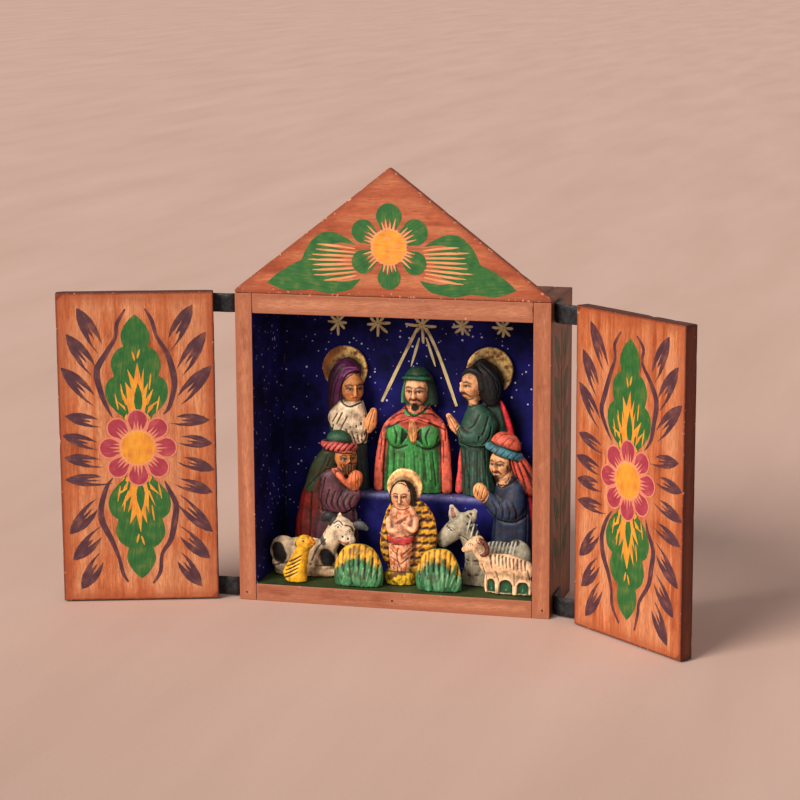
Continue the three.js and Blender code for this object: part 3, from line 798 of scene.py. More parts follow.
for i in range(6):
    turn = math.radians(90 + 60 * i)
    draw_petal(gable_picture, GABLE_FLOWER, turn, 11.9, 5.1 if i in (0, 5) else 4.6, LEAF)
    for shift in (-0.24, -0.06, 0.12, 0.28):
        ray = Vector((math.cos(turn + shift), math.sin(turn + shift)))
        reach = gable_picture.random.uniform(9.6, 12.2)
        gable_picture.stroke([Vector(GABLE_FLOWER) + ray * 6, Vector(GABLE_FLOWER) + ray * reach],
                             [0.9, 0.7, 0.15], CREAM, 6)
draw_heart(gable_picture, GABLE_FLOWER, 7.0, CREAM, 26, 0.1, 0)
draw_heart(gable_picture, GABLE_FLOWER, 6.3, OCHRE, 30, 0.1, 0)
for i in range(9):
    spot = Vector(GABLE_FLOWER) + Vector((gable_picture.random.uniform(-4, 4), -4.4 + 1.1 * i))
    gable_picture.stroke([spot - Vector((1.6, 0)), spot + Vector((1.6, 0.2))], [0.2, 0.4, 0.2], CREAM, 4)
gable_picture.hang("gable_painting", "gable", "box", flower_paints)

# %% [markdown]
# Both outer sides carry a plainer picture in shade green, a tall stem with slit leaves in pairs, and
# the front shows the pins that hold the boards: small dark holes, drawn as dots.

# %% Side pictures and pin holes
STEM_MIDDLE, PAIR_STEP = 22.0, 16.0
for node in ("left_outside", "right_outside"):
    picture = Picture(len(node))
    picture.stroke([(STEM_MIDDLE, 12), (STEM_MIDDLE + 0.8, 60), (STEM_MIDDLE, 112)], [1.2, 1.5, 0.6],
                   SHADE_GREEN, 20)
    for i in range(6):
        foot = 16 + PAIR_STEP * i
        for side in (-1, 1):
            draw_slit_leaf(picture, (STEM_MIDDLE + side * 14, foot + 15), (STEM_MIDDLE + side * 1.4, foot),
                           SHADE_GREEN, 3.4, side)
    picture.hang(node + "_painting", node, "box", flower_paints)

pit_paint = brushed_paint("dark_pin_hole", "#2A130C", "#1E0C08", "#140805")
PINS = ((0, 3.4), (-60.4, 3.2), (60.6, 3.4))
front_picture = Picture(8)
for u, v in PINS:
    draw_heart(front_picture, (u, v), 0.34, 0, 7, 0.3)
front_picture.hang("front_pin_holes", "front", "box", [pit_paint])

# %% [markdown]
# The sky on the back panel has a row of five gold stars, each made of eight strokes that run out
# from its middle, and from the big one four rays fall to the figures.

# %% Stars
STAR_HEIGHT = 100.6  # above the bottom of the back panel
star_paint = brushed_paint("gold_brushed_paint", "#A08A58", "#DCC890", "#F6E8BC", 0.42)
sky = Picture(3)


def draw_star(picture, centre, reach, arms=8):
    for i in range(arms):
        turn = math.radians(90 + 360 / arms * i + picture.random.uniform(-6, 6))
        ray = Vector((math.cos(turn), math.sin(turn))) * reach * picture.random.uniform(0.75, 1.15)
        bend = Vector((picture.random.uniform(-0.4, 0.4), picture.random.uniform(-0.4, 0.4)))
        picture.stroke([Vector(centre) + ray * 0.04, Vector(centre) + ray * 0.5 + bend, Vector(centre) + ray],
                       [0.7, 1.0, 1.2, 0.7], 0, 8)


for x, reach in ((-33, 5.0), (-16.2, 4.8), (2.4, 6.6), (19.2, 4.6), (36, 4.6)):
    draw_star(sky, (x, STAR_HEIGHT), reach)
for line in ([(0.6, 99.5), (-5.6, 87), (-14.6, 68.4)], [(4.2, 99.5), (9.6, 88), (16.8, 67.8)]):
    sky.stroke(line, [0.9, 1.3, 1.2, 1.4, 1.0], 0, 16)
for line in ([(1.4, 95.5), (-2.2, 83.4)], [(4.2, 95.5), (8.0, 83.8)]):
    sky.stroke(line, [0.5, 1.1, 1.0, 0.3], 0, 8)
sky.hang("painted_stars", "back_panel", "box", [star_paint])

# %% [markdown]
# ## Leather straps
# Each door hangs on two strips of black leather: one end is glued to the side of the box, the other
# to the back of the door, and the free stretch between them is drawn in the bend it has with the
# door open.


# %% Straps
def black_leather():
    material, shader = start_material("black_strap_leather", {"Roughness": 0.45, "Specular IOR Level": 0.4})
    place = add_node(material, "TexCoord", {}, "Object")
    grain = add_node(material, "TexVoronoi", {
        "Vector": place, "Scale": 1 / (0.9 * MM), "Randomness": 1.0}, "Distance")
    scuff = add_node(material, "TexNoise", {"Vector": place, "Scale": 1 / (2.2 * MM), "Detail": 4.0})
    tone = add_node(material, "ValToRGB", {"Fac": scuff, "stops": [
        (0.38, colour("#0C0D10")), (0.72, colour("#2C3034"))]})
    wear(material, shader, tone, grain, 0.6, 0.14)
    return material


leather = black_leather()
STRAP = {"width": 7.5, "thickness": 0.8, "low": 0.8, "high": 116.6, "standoff": 0.7, "leaves": 7.0,
         "box_tab": 12.0, "door_tab": 12.0, "inset": 1.2, "bend": 5.0, "slack": 0.2, "rounding": 0.22}
BEND_STEPS = 16
SHARP = 1.2  # an edge whose faces meet at over this angle, in radians, is a corner


def strap_route(side, joint):
    """The strap's middle line in plan: a tab on the box, a free bend, a tab on the open door."""
    hinge = Vector(joint["pos_m"]).xy / MM
    opened = Matrix.Rotation(math.radians(-max(joint["range_deg"], key=abs)), 2)
    turned = lambda x, y: opened @ (Vector((side * x, y)) - hinge) + hinge
    outer_face = SHUT_FACE - DOOR["thickness"] - STRAP["standoff"] - STRAP["slack"]
    door_edge = DOOR["from_middle"] + DOOR["width"] / 2 - STRAP["inset"]
    box_face = abs(node_box("left_side")[0].x) + STRAP["standoff"]
    leave = Vector((side * box_face, front + STRAP["leaves"]))
    join, tab_end = turned(door_edge, outer_face), turned(door_edge - STRAP["door_tab"], outer_face)
    back_pull = join - (tab_end - join).normalized() * STRAP["bend"]
    points = [leave + Vector((0, STRAP["box_tab"])), leave + Vector((0, STRAP["box_tab"] / 2))]
    for i in range(BEND_STEPS + 1):
        t = i / BEND_STEPS
        points.append((1 - t) ** 3 * leave + 3 * (1 - t) ** 2 * t * (leave - Vector((0, STRAP["bend"])))
                      + 3 * (1 - t) * t ** 2 * back_pull + t ** 3 * join)
    return points + [join.lerp(tab_end, 0.5), tab_end], leave, join


def make_strap(node, side, joint, low):
    points, leave, join = strap_route(side, joint)
    bm = bmesh.new()
    bmesh.ops.create_grid(bm, x_segments=4, y_segments=len(points) - 1, size=1.0)
    for v in bm.verts:
        i = round((v.co.y + 1) / 2 * (len(points) - 1))
        ahead = (points[min(i + 1, len(points) - 1)] - points[max(i - 1, 0)]).normalized()
        v.co = (*(points[i] + Vector((-ahead.y, ahead.x)) * STRAP["thickness"] / 2),
                low + STRAP["width"] * (0.5 + 0.5 * v.co.x))
    bmesh.ops.recalc_face_normals(bm, faces=bm.faces)
    bmesh.ops.solidify(bm, geom=bm.faces[:], thickness=STRAP["thickness"])
    bmesh.ops.recalc_face_normals(bm, faces=bm.faces)
    corners = [e for e in bm.edges if e.calc_face_angle(0) > SHARP]
    round_edges(bm, corners, STRAP["rounding"], 2, clamp=True)
    for f in bm.faces:
        f.smooth = True
    piece = finish_mesh(node + "_leather", bm, [leather])
    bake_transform(piece)
    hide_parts(node)


for side, word in ((-1, "left"), (1, "right")):
    for low, level in ((STRAP["low"], "bottom"), (STRAP["high"], "top")):
        make_strap(f"{word}_strap_{level}", side, joints[word + "_door"], low)
print("straps: 4")

# %% [markdown]
# ## The ledge
# The three tall figures stand on a ledge that was shaped by hand under the same navy paint. Its
# outline has round shoulders, and its front edges are rubbed soft. Flicked flecks cover it too, and a
# pale band along the top of its front edge is a painted highlight.

# %% Ledge
SHOULDER, ROUNDING = 8.0, 1.1
# The ledge's top front edge gets a pale band, a painted highlight; these slices and numbers place it.
SLICE = 0.9  # height of the bands that carry the rubbed value
LEDGE_HIGHLIGHT = {"amount": 1.3, "below_top": 0.4, "spread": 1.2}
low, high = node_box("ledge")
corners = [(low.x, low.z), (high.x, low.z), (high.x, high.z), (low.x, high.z)]
bm = extrude_outline([(x, low.y, z) for x, z in corners], (0, high.y - low.y, 0))
shoulders = [e for e in bm.edges if all(v.co.z > high.z - 0.1 for v in e.verts)
             and abs(e.verts[0].co.x - e.verts[1].co.x) < 0.1]
round_edges(bm, shoulders, SHOULDER, 10)
rim = [e for e in bm.edges if all(v.co.y < low.y + 0.1 and v.co.z > low.z + 0.1 for v in e.verts)]
round_edges(bm, rim, ROUNDING, 3)
for i in range(1, 4):
    slice_mesh(bm, (0, 0, high.z - SLICE * i), (0, 0, 1))
# painted highlight: a pale band just below the top of the front edge
rubbed = bm.verts.layers.float.new("rubbed")
for v in bm.verts:
    away = (high.z - LEDGE_HIGHLIGHT["below_top"] - v.co.z) / LEDGE_HIGHLIGHT["spread"]
    v[rubbed] = LEDGE_HIGHLIGHT["amount"] * math.exp(-away ** 2) * (v.co.y < low.y + ROUNDING + 0.1)
for f in bm.faces:
    f.smooth = abs(f.normal.y) < 0.99 and abs(f.normal.z) < 0.99
ledge_paint = water_paint("navy_water_paint_with_a_painted_highlight_on_the_ledge", "#0E0E44", "#24247E", "#B9BCE6", (3.4, 4.6))
ledge_piece = finish_mesh("painted_ledge", bm, [ledge_paint])
dress(ledge_piece, "ledge", "box")
print("ledge:", round(high.x - low.x), "mm long")

# %% [markdown]
# ## Modelled clay
# The figures are modelled by hand: lumps of soft clay are pressed together, smoothed, cut with a
# stick, fired and painted. The same order works here. Lumps overlap freely in one bmesh, a voxel
# remesh fuses them into one skin, a little smoothing plays the wet finger, and then marks are laid on
# from the front: a mark may cut or raise the clay, paint it, or both. Paint is stored as a colour on
# every point, because a remeshed skin has no map of its own.

# %% Clay lumps
VOXEL = 0.42
FRONT = ((0.0, 0.0), 0.0)  # marks seen from straight before the figure
Mark = namedtuple("Mark", "line widths shade depth on soft view")


class Clay:
    """A figure in millimetres about the middle of its base: x across, y back, z up."""

    def __init__(self):
        self.bm = bmesh.new()
        self.part = self.bm.faces.layers.int.new("part")
        self.shades, self.mottles, self.marks, self.fine = [], {}, [], []

    def claim(self, shade, mottle=None):
        """Gives all faces that are new since the last lump to a part of that colour."""
        self.shades.append(colour(shade)[:3])
        if mottle:
            self.mottles[len(self.shades)] = colour(mottle)[:3]
        for f in self.bm.faces:
            if f[self.part] == 0:
                f[self.part] = len(self.shades)
        return len(self.shades)

    def egg(self, shade, centre, radii, tilt=0, spin=0, mottle=None):
        """A ball of clay, stretched to its radii, then tilted in the front plane and spun about z."""
        turn = Euler((0, math.radians(tilt), math.radians(spin))).to_matrix().to_4x4()
        place = Matrix.Translation(centre) @ turn @ Matrix.Diagonal((*radii, 1))
        bmesh.ops.create_uvsphere(self.bm, u_segments=28, v_segments=18, radius=1, matrix=place)
        return self.claim(shade, mottle)

    def plate(self, shade, centre, radius, thickness, lean=0, mottle=None):
        """A flat round plate that faces forward, such as a halo, leaning back by some degrees."""
        turn = Matrix.Rotation(math.radians(90 - lean), 4, "X")
        bmesh.ops.create_cone(self.bm, cap_ends=True, segments=48, radius1=radius, radius2=radius * 0.97,
                              depth=thickness, matrix=Matrix.Translation(centre) @ turn)
        return self.claim(shade, mottle)

    def rings(self, shade, loops, mottle=None):
        """A skin through closed loops of points, capped at both ends."""
        edges = []
        for loop in loops:
            verts = bmesh.ops.create_circle(self.bm, segments=len(loop), radius=1)["verts"]
            for v, point in zip(verts, loop):
                v.co = point
            edges.append([e for e in {e for v in verts for e in v.link_edges}])
        for below, above in zip(edges, edges[1:]):
            bmesh.ops.bridge_loops(self.bm, edges=below + above)
        bmesh.ops.holes_fill(self.bm, edges=edges[0] + edges[-1], sides=0)
        new = [f for f in self.bm.faces if f[self.part] == 0]
        bmesh.ops.recalc_face_normals(self.bm, faces=new)
        return self.claim(shade, mottle)

    def tower(self, shade, profile, folds=0, depth=0.0, phase=0.0, sides=64, mottle=None):
        """Draped clay: ovals [x, y, z, half width, half depth] joined upwards. The folds are
        uneven round ridges with sharp valleys, deepest at the hem."""
        levels = 5 * (len(profile) - 1)
        own = 3.7 * len(self.shades)
        loops = []
        for i in range(levels + 1):
            share = i / levels
            x, y, z, wide, deep = [smooth_value([p[k] for p in profile], share) for k in range(5)]
            fade = depth * (1 - share) ** 0.7
            loop = []
            for k in range(sides):
                angle = 2 * math.pi * k / sides
                stray = noise.noise(Vector((1.7 * math.cos(angle), 1.7 * math.sin(angle), own + share)))
                lean = folds * (angle + 0.5 * stray) + phase + 1.3 * share
                ridge = 2 * abs(math.cos(0.5 * lean)) - 1 if folds else 0
                out = 1 - fade + fade * ridge * (0.8 + 1.2 * stray)
                loop.append((x + wide * out * math.cos(angle), y + deep * out * math.sin(angle), z))
            loops.append(loop)
        return self.rings(shade, loops, mottle)

    def limb(self, shade, points, radii, flat=1.0, mottle=None):
        """A rolled sausage of clay along a smooth line, with round ends. flat thins it from
        front to back."""
        steps, sides = 5 * (len(points) - 1) + 4, 20
        loops = []
        for i in range(steps + 1):
            share = i / steps
            spot = self.spot(points, share)
            ahead = self.spot(points, min(share + 0.02, 1)) - self.spot(points, max(share - 0.02, 0))
            across = ahead.cross(Vector((0, 1, 0))).normalized()
            other = across.cross(ahead).normalized()
            radius = smooth_value(radii, share)
            loops.append([spot + radius * (across * math.cos(a) + other * flat * math.sin(a))
                          for a in (2 * math.pi * k / sides for k in range(sides))])
        made = self.rings(shade, loops, mottle)
        for end, radius in ((points[0], radii[0]), (points[-1], radii[-1])):
            place = Matrix.Translation(end) @ Matrix.Diagonal((radius, radius * flat, radius, 1))
            bmesh.ops.create_uvsphere(self.bm, u_segments=16, v_segments=10, radius=1, matrix=place)
        for f in self.bm.faces:
            if f[self.part] == 0:
                f[self.part] = made
        return made

    @staticmethod
    def spot(points, share):
        flat = smooth_line([(p[0], p[2]) for p in points], share)
        return Vector((flat.x, smooth_value([p[1] for p in points], share), flat.y))

    def mark(self, line, width, shade=None, depth=0.0, on=None, soft=0.3, view=FRONT):
        """Queues a mark along a line of (across, up) points seen in a view: its width may be one
        number or one for each point, depth below zero cuts the clay, on limits it to some parts."""
        widths = width if isinstance(width, (list, tuple)) else [width] * len(line)
        self.marks.append(Mark(line, widths, shade and colour(shade)[:3], depth, on, soft, view))

    def cuts(self, lines, width, shade, depth, **where):
        for line in lines:
            self.mark(line, width, shade, depth, **where)


print("clay: a voxel is", VOXEL, "mm")

# %% [markdown]
# A mark is a thick line. Its weight at a point of the clay is 1 inside the line and falls to 0
# across a soft edge, and it fades where the clay turns away from the view. numpy works this out for
# every point of a figure at once.


# %% Marks on clay
def flatten(points, view):
    """Points of the clay as (across, up) in a view, and the direction the view looks from."""
    (x, y), yaw = view
    turn = math.radians(yaw)
    across = (points[:, 0] - x) * math.cos(turn) + (points[:, 1] - y) * math.sin(turn)
    return np.stack([across, points[:, 2]], 1), np.array([math.sin(turn), -math.cos(turn), 0.0])


def mark_weight(points, normals, mark):
    """How strongly a mark covers each point, from 0 to 1."""
    line, widths = mark.line, mark.widths
    flat, toward = flatten(points, mark.view)
    steps = 4 * (len(line) - 1) if len(line) > 2 else 1
    if len(line) == 1:
        line, widths = [line[0], (line[0][0] + 1e-3, line[0][1])], [widths[0]] * 2
    path = np.array([smooth_line(line, i / steps) for i in range(steps + 1)])
    radius = np.array([smooth_value(widths, i / steps) / 2 for i in range(steps + 1)])
    nearest = np.full(len(points), 1e9)
    for a, b, ra, rb in zip(path, path[1:], radius, radius[1:]):
        side = b - a
        share = np.clip(((flat - a) @ side) / max(side @ side, 1e-9), 0, 1)
        gap = np.linalg.norm(flat - a - share[:, None] * side, axis=1) - (ra + (rb - ra) * share)
        nearest = np.minimum(nearest, gap)
    facing = np.clip((normals @ toward) * 3, 0, 1)
    return np.clip(0.5 - nearest / mark.soft, 0, 1) * facing


def concavity(points, normals, edges, rounds=2):
    """How far each point lies below its neighbours, in millimetres: more than 0 in a crease."""
    count = np.bincount(edges.ravel(), minlength=len(points))[:, None]
    total = np.zeros_like(points)
    np.add.at(total, edges[:, 0], points[edges[:, 1]])
    np.add.at(total, edges[:, 1], points[edges[:, 0]])
    value = ((total / np.maximum(count, 1) - points) * normals).sum(1)
    for _ in range(rounds):
        spread = np.zeros_like(value)
        np.add.at(spread, edges[:, 0], value[edges[:, 1]])
        np.add.at(spread, edges[:, 1], value[edges[:, 0]])
        value = 0.5 * value + 0.5 * spread / np.maximum(count[:, 0], 1)
    return value


def arrays(bm):
    bm.normal_update()
    points = np.array([v.co for v in bm.verts])
    normals = np.array([v.normal for v in bm.verts])
    return points, normals


# %% [markdown]
# Firing brings it together: remesh, smooth, press the skin a little uneven, refine the small parts
# such as the face, cut the marks, and paint. The creases are darkened, partly the figures' own dark
# wash and partly painted shade, the wide hollows get painted shade, and the ridges a painted
# highlight, which gives the figures their depth.

# %% Painted clay
# Painted light on the clay: creases made darker (the figures' own wash and painted shade), painted shade in
# wide hollows, painted highlights on ridges.
CREASE_WASH_AND_SHADE, HOLLOW_SHADE = 0.84, 0.45  # how much of its colour a deep crease and a wide hollow lose
CREASE, RIDGE = 0.05, 0.06  # concavities, in millimetres, at which wash and dry brush are full
DIP = 0.012  # the same for the wide hollows
DIP_ROUNDS = 14  # how often a concavity is spread to the neighbours to find the wide hollows
RIDGE_HIGHLIGHT = (0.7, 0.012)  # the share and the plain amount of light that a ridge gains
DEPTH_OF_PAINT = 1.1  # over 1, the varnish deepens every colour
SMOOTHING = 2  # strokes of the wet finger
MOTTLE = {"waves": 0.55, "coarse": 2.6, "fine": 1.4, "less": 0.1}
HAND = ((0.16, 0.28), (0.8, 0.07))  # unevenness of the skin: waves for each mm, and depth in mm


def painted_clay():
    material, shader = start_material("varnished_painted_clay", {
        "Roughness": 0.56, "Specular IOR Level": 0.35, "Coat Weight": 0.1, "Coat Roughness": 0.35})
    paint = add_node(material, "Attribute", {"attribute_name": "paint"}, "Color")
    place = add_node(material, "TexCoord", {}, "Object")
    drawn = add_node(material, "Mapping", {"Vector": place, "Scale": (1.0, 1.0, 0.25)})
    streak = add_node(material, "TexNoise", {
        "Vector": drawn, "Scale": 1 / (0.9 * MM), "Detail": 5.0, "Roughness": 0.7})
    blotch = add_node(material, "TexNoise", {
        "Vector": place, "Scale": 1 / (3.4 * MM), "Detail": 4.0, "Roughness": 0.6})
    load = add_node(material, "Mix", {0: 0.5, 2: streak, 3: blotch})
    uneven = add_node(material, "MapRange", {
        "Value": load, "From Min": 0.36, "From Max": 0.64, "To Min": 0.5, "To Max": 1.5})
    brushed = add_node(material, "VectorMath", {"operation": "SCALE", 0: paint, "Scale": uneven})
    smoke = add_node(material, "MapRange", {
        "Value": blotch, "From Min": 0.48, "From Max": 0.3, "To Min": 0.0, "To Max": 0.45})
    tone = add_node(material, "Mix", {"data_type": "RGBA", 0: smoke, 6: brushed, 7: colour("#4A2A18")}, 2)
    wear(material, shader, tone, load, 0.55, 0.2)
    return material


clay_finish = painted_clay()


def fire(clay, node, place):
    """Makes the finished figure of a lump of clay, at a place in the box, in millimetres."""
    tree = BVHTree.FromBMesh(clay.bm)
    part_of_face = [f[clay.part] for f in clay.bm.faces]
    raw = bpy.data.meshes.new("raw_clay")
    clay.bm.to_mesh(raw)
    clay.bm.free()
    lump = bpy.data.objects.new("raw_clay", raw)
    scene.collection.objects.link(lump)
    voxels = lump.modifiers.new("voxels", "REMESH")
    voxels.mode, voxels.voxel_size = "VOXEL", VOXEL
    fused = bpy.data.meshes.new_from_object(lump.evaluated_get(bpy.context.evaluated_depsgraph_get()))
    bpy.data.objects.remove(lump)
    bm = bmesh.new()
    bm.from_mesh(fused)
    for _ in range(SMOOTHING):
        bmesh.ops.smooth_vert(bm, verts=bm.verts, factor=0.5, use_axis_x=True, use_axis_y=True,
                              use_axis_z=True)
    bm.normal_update()
    for v in bm.verts:
        uneven = sum(deep * noise.noise(v.co * waves + Vector(place)) for waves, deep in HAND)
        v.co += v.normal * (uneven - HAND[0][1] / 2)
    for centre, reach in clay.fine:
        near = [e for e in bm.edges if (e.verts[0].co - Vector(centre)).length < reach]
        bmesh.ops.subdivide_edges(bm, edges=near, cuts=1, use_grid_fill=True)
    points, normals = arrays(bm)
    parts = np.array([part_of_face[tree.find_nearest(p)[2]] for p in points])
    covers = []
    for mark in clay.marks:
        weight = mark_weight(points, normals, mark)
        if mark.on is not None:
            weight = weight * np.isin(parts, mark.on)
        covers.append(weight)
    moved = points.copy()
    for weight, mark in zip(covers, clay.marks):
        moved += normals * (mark.depth * weight * weight * (3 - 2 * weight))[:, None]
    for v, point in zip(bm.verts, moved):
        v.co = point
    points, normals = arrays(bm)
    edges = np.array([[v.index for v in e.verts] for e in bm.edges])
    hollow = concavity(points, normals, edges)
    paint = np.array([(0, 0, 0)] + clay.shades)[parts]
    for part, shade in clay.mottles.items():
        for i in np.nonzero(parts == part)[0]:
            spot = Vector(points[i]) * MOTTLE["waves"]
            amount = (MOTTLE["coarse"] * noise.noise(spot) + MOTTLE["fine"] * noise.noise(spot * 2.6)
                      - MOTTLE["less"])
            paint[i] += (np.array(shade) - paint[i]) * min(1, max(0, amount))
    # painted highlight: the ridges are made lighter
    ridge_lightening = np.clip(-hollow / RIDGE, 0, 1)[:, None]
    paint = np.power(paint * (1 + RIDGE_HIGHLIGHT[0] * ridge_lightening) + RIDGE_HIGHLIGHT[1] * ridge_lightening, DEPTH_OF_PAINT)
    for weight, mark in zip(covers, clay.marks):
        if mark.shade is not None:
            paint += (np.array(mark.shade) - paint) * weight[:, None]
    # painted shade: the wide hollows, then the creases, are made darker; the creases also hold the figures'
    # own wash
    wide = concavity(points, normals, edges, DIP_ROUNDS)
    paint *= 1 - HOLLOW_SHADE * np.clip(wide / DIP, 0, 1)[:, None]
    paint *= 1 - CREASE_WASH_AND_SHADE * np.clip(hollow / CREASE, 0, 1)[:, None]
    for f in bm.faces:
        f.smooth = True
    piece = finish_mesh(node + "_figure", bm, [clay_finish], Matrix.Translation(place))
    layer = piece.data.color_attributes.new("paint", "FLOAT_COLOR", "POINT")
    layer.data.foreach_set("color", np.c_[paint, np.ones(len(paint))].astype(np.float32).ravel())
    dress(piece, node, "box")
    print(node, "figure:", sum(len(f.vertices) - 2 for f in piece.data.polygons), "triangles")


# %% [markdown]
# ## Faces
# Every figure's face is the same calm, general one, built on simple proportions: the eyes on the
# middle line of the head, the tip of the nose a third of the way from there to the chin, and the
# mouth a third of the way from the nose to the chin. Only its turn, size, colour and beard change.

# %% The common face
DARK_LINE = "#24120C"


def model_face(clay, centre, size, yaw, skin, shade, hair=None, beard=None, neck=None):
    """Marks a face on an egg of clay. size is half the head's height; yaw turns it sideways."""
    x, y, z = centre
    view = ((x, y), yaw)
    at = lambda u, w: (u * size, z + w * size)
    on = [skin] if neck is None else [skin, neck]
    clay.fine.append((centre, 1.15 * size))
    put = lambda line, width, shade=None, depth=0.0, soft=0.1: clay.mark(
        [at(*p) for p in line], [w * size for w in width] if isinstance(width, list) else width * size,
        shade, depth, on, soft * size, view)
    for side in (-1, 1):
        put([(side * 0.46, 0.1), (side * 0.22, 0.08)], 0.26, None, -0.5, 0.3)
        put([(side * 0.34, 0.06)], 0.2, None, 0.32, 0.16)
        put([(side * 0.5, -0.24)], 0.34, None, 0.3, 0.4)
    put([(-0.5, 0.27), (0, 0.22), (0.5, 0.27)], 0.12, None, 0.28, 0.2)
    put([(0, 0.24), (0, 0.0), (0, -0.26)], [0.08, 0.12, 0.24], None, 1.25, 0.2)
    put([(-0.24, -0.44), (0, -0.4), (0.24, -0.44)], 0.08, None, 0.3, 0.12)
    put([(-0.18, -0.58), (0.18, -0.58)], 0.1, None, 0.3, 0.14)
    put([(0, -0.84)], 0.3, None, 0.5, 0.3)
    for side in (-1, 1):
        put([(side * 0.46, -0.2)], 0.3, shade, 0, 0.45)
        put([(side * 0.48, 0.06), (side * 0.34, 0.08), (side * 0.2, 0.05)], [0.06, 0.15, 0.06], "#F2E4CC")
        put([(side * 0.33, 0.06)], 0.17, "#1A0E0A", 0, 0.05)
        put([(side * 0.54, 0.06), (side * 0.35, 0.15), (side * 0.16, 0.06)], 0.09, DARK_LINE)
        put([(side * 0.58, 0.25), (side * 0.36, 0.35), (side * 0.14, 0.28)], [0.07, 0.13, 0.09],
            hair or DARK_LINE)
        put([(side * 0.1, -0.27)], 0.05, "#7A3A22")
    put([(-0.2, -0.51), (0, -0.48), (0.2, -0.51)], [0.05, 0.13, 0.05], "#A8423A")
    if beard == "line":
        for side in (-1, 1):
            put([(side * 0.74, 0.0), (side * 0.7, -0.45), (side * 0.38, -0.78), (0, -0.86)], 0.09, hair)
            put([(0.03, -0.36), (side * 0.24, -0.4), (side * 0.4, -0.62)], [0.11, 0.14, 0.08], hair)
        put([(0, -0.74), (0, -0.96)], [0.34, 0.5], hair, 0.25)
    if beard == "full":
        for i in range(9):
            u = -0.62 + 0.155 * i
            put([(u * 0.9, -0.38 - 0.1 * (1 - abs(u))), (u, -0.75), (u * 0.8, -1.25)], 0.09, hair, -0.2)
        put([(-0.36, -0.5), (0, -0.34), (0.36, -0.5)], [0.06, 0.12, 0.06], hair)


# %% [markdown]
# Hands are pressed together in prayer, and on a figure this small the maker models them as one
# mitten with a cut down its middle for the two palms and shorter cuts for the fingers.


# %% Praying hands
def praying_hands(clay, tip, heel, thickness, shade, line="#8A3A24"):
    """Two palms pressed together, from the heel of the hand up to the fingertips."""
    tip, heel = Vector(tip), Vector(heel)
    made = clay.limb(shade, [heel, heel.lerp(tip, 0.4), tip],
                     [thickness * 0.62, thickness, thickness * 0.62], 0.8)
    run = tip - heel
    flat = Vector((run.x, run.z)).normalized()
    side = Vector((-flat.y, flat.x))
    low, high = Vector((heel.x, heel.z)), Vector((tip.x, tip.z))
    clay.mark([low, high + flat * thickness * 0.4], 0.3, line, -0.3, on=[made])
    for shift in (-0.55, 0.55):
        start = low.lerp(high, 0.5) + side * thickness * shift
        clay.mark([start, high + side * thickness * shift * 0.6], 0.25, line, -0.16, on=[made])
    clay.fine.append((tuple(heel.lerp(tip, 0.5)), run.length * 0.9))
    return made


# %% [markdown]
# ## The back row
# Three standing figures. Each is listed from the inside out: the robe's body, what lies over it, the
# head, then the cuts of cloth and the painted edges.

# %% The haloed woman
CLOTH_LINE = "#140A0C"
# The halos' brown is both their stained mottle and the painted shadow on the left of the woman's halo.
GOLD, GOLD_STAIN_AND_SHADE = "#E6C47C", "#8A4E16"


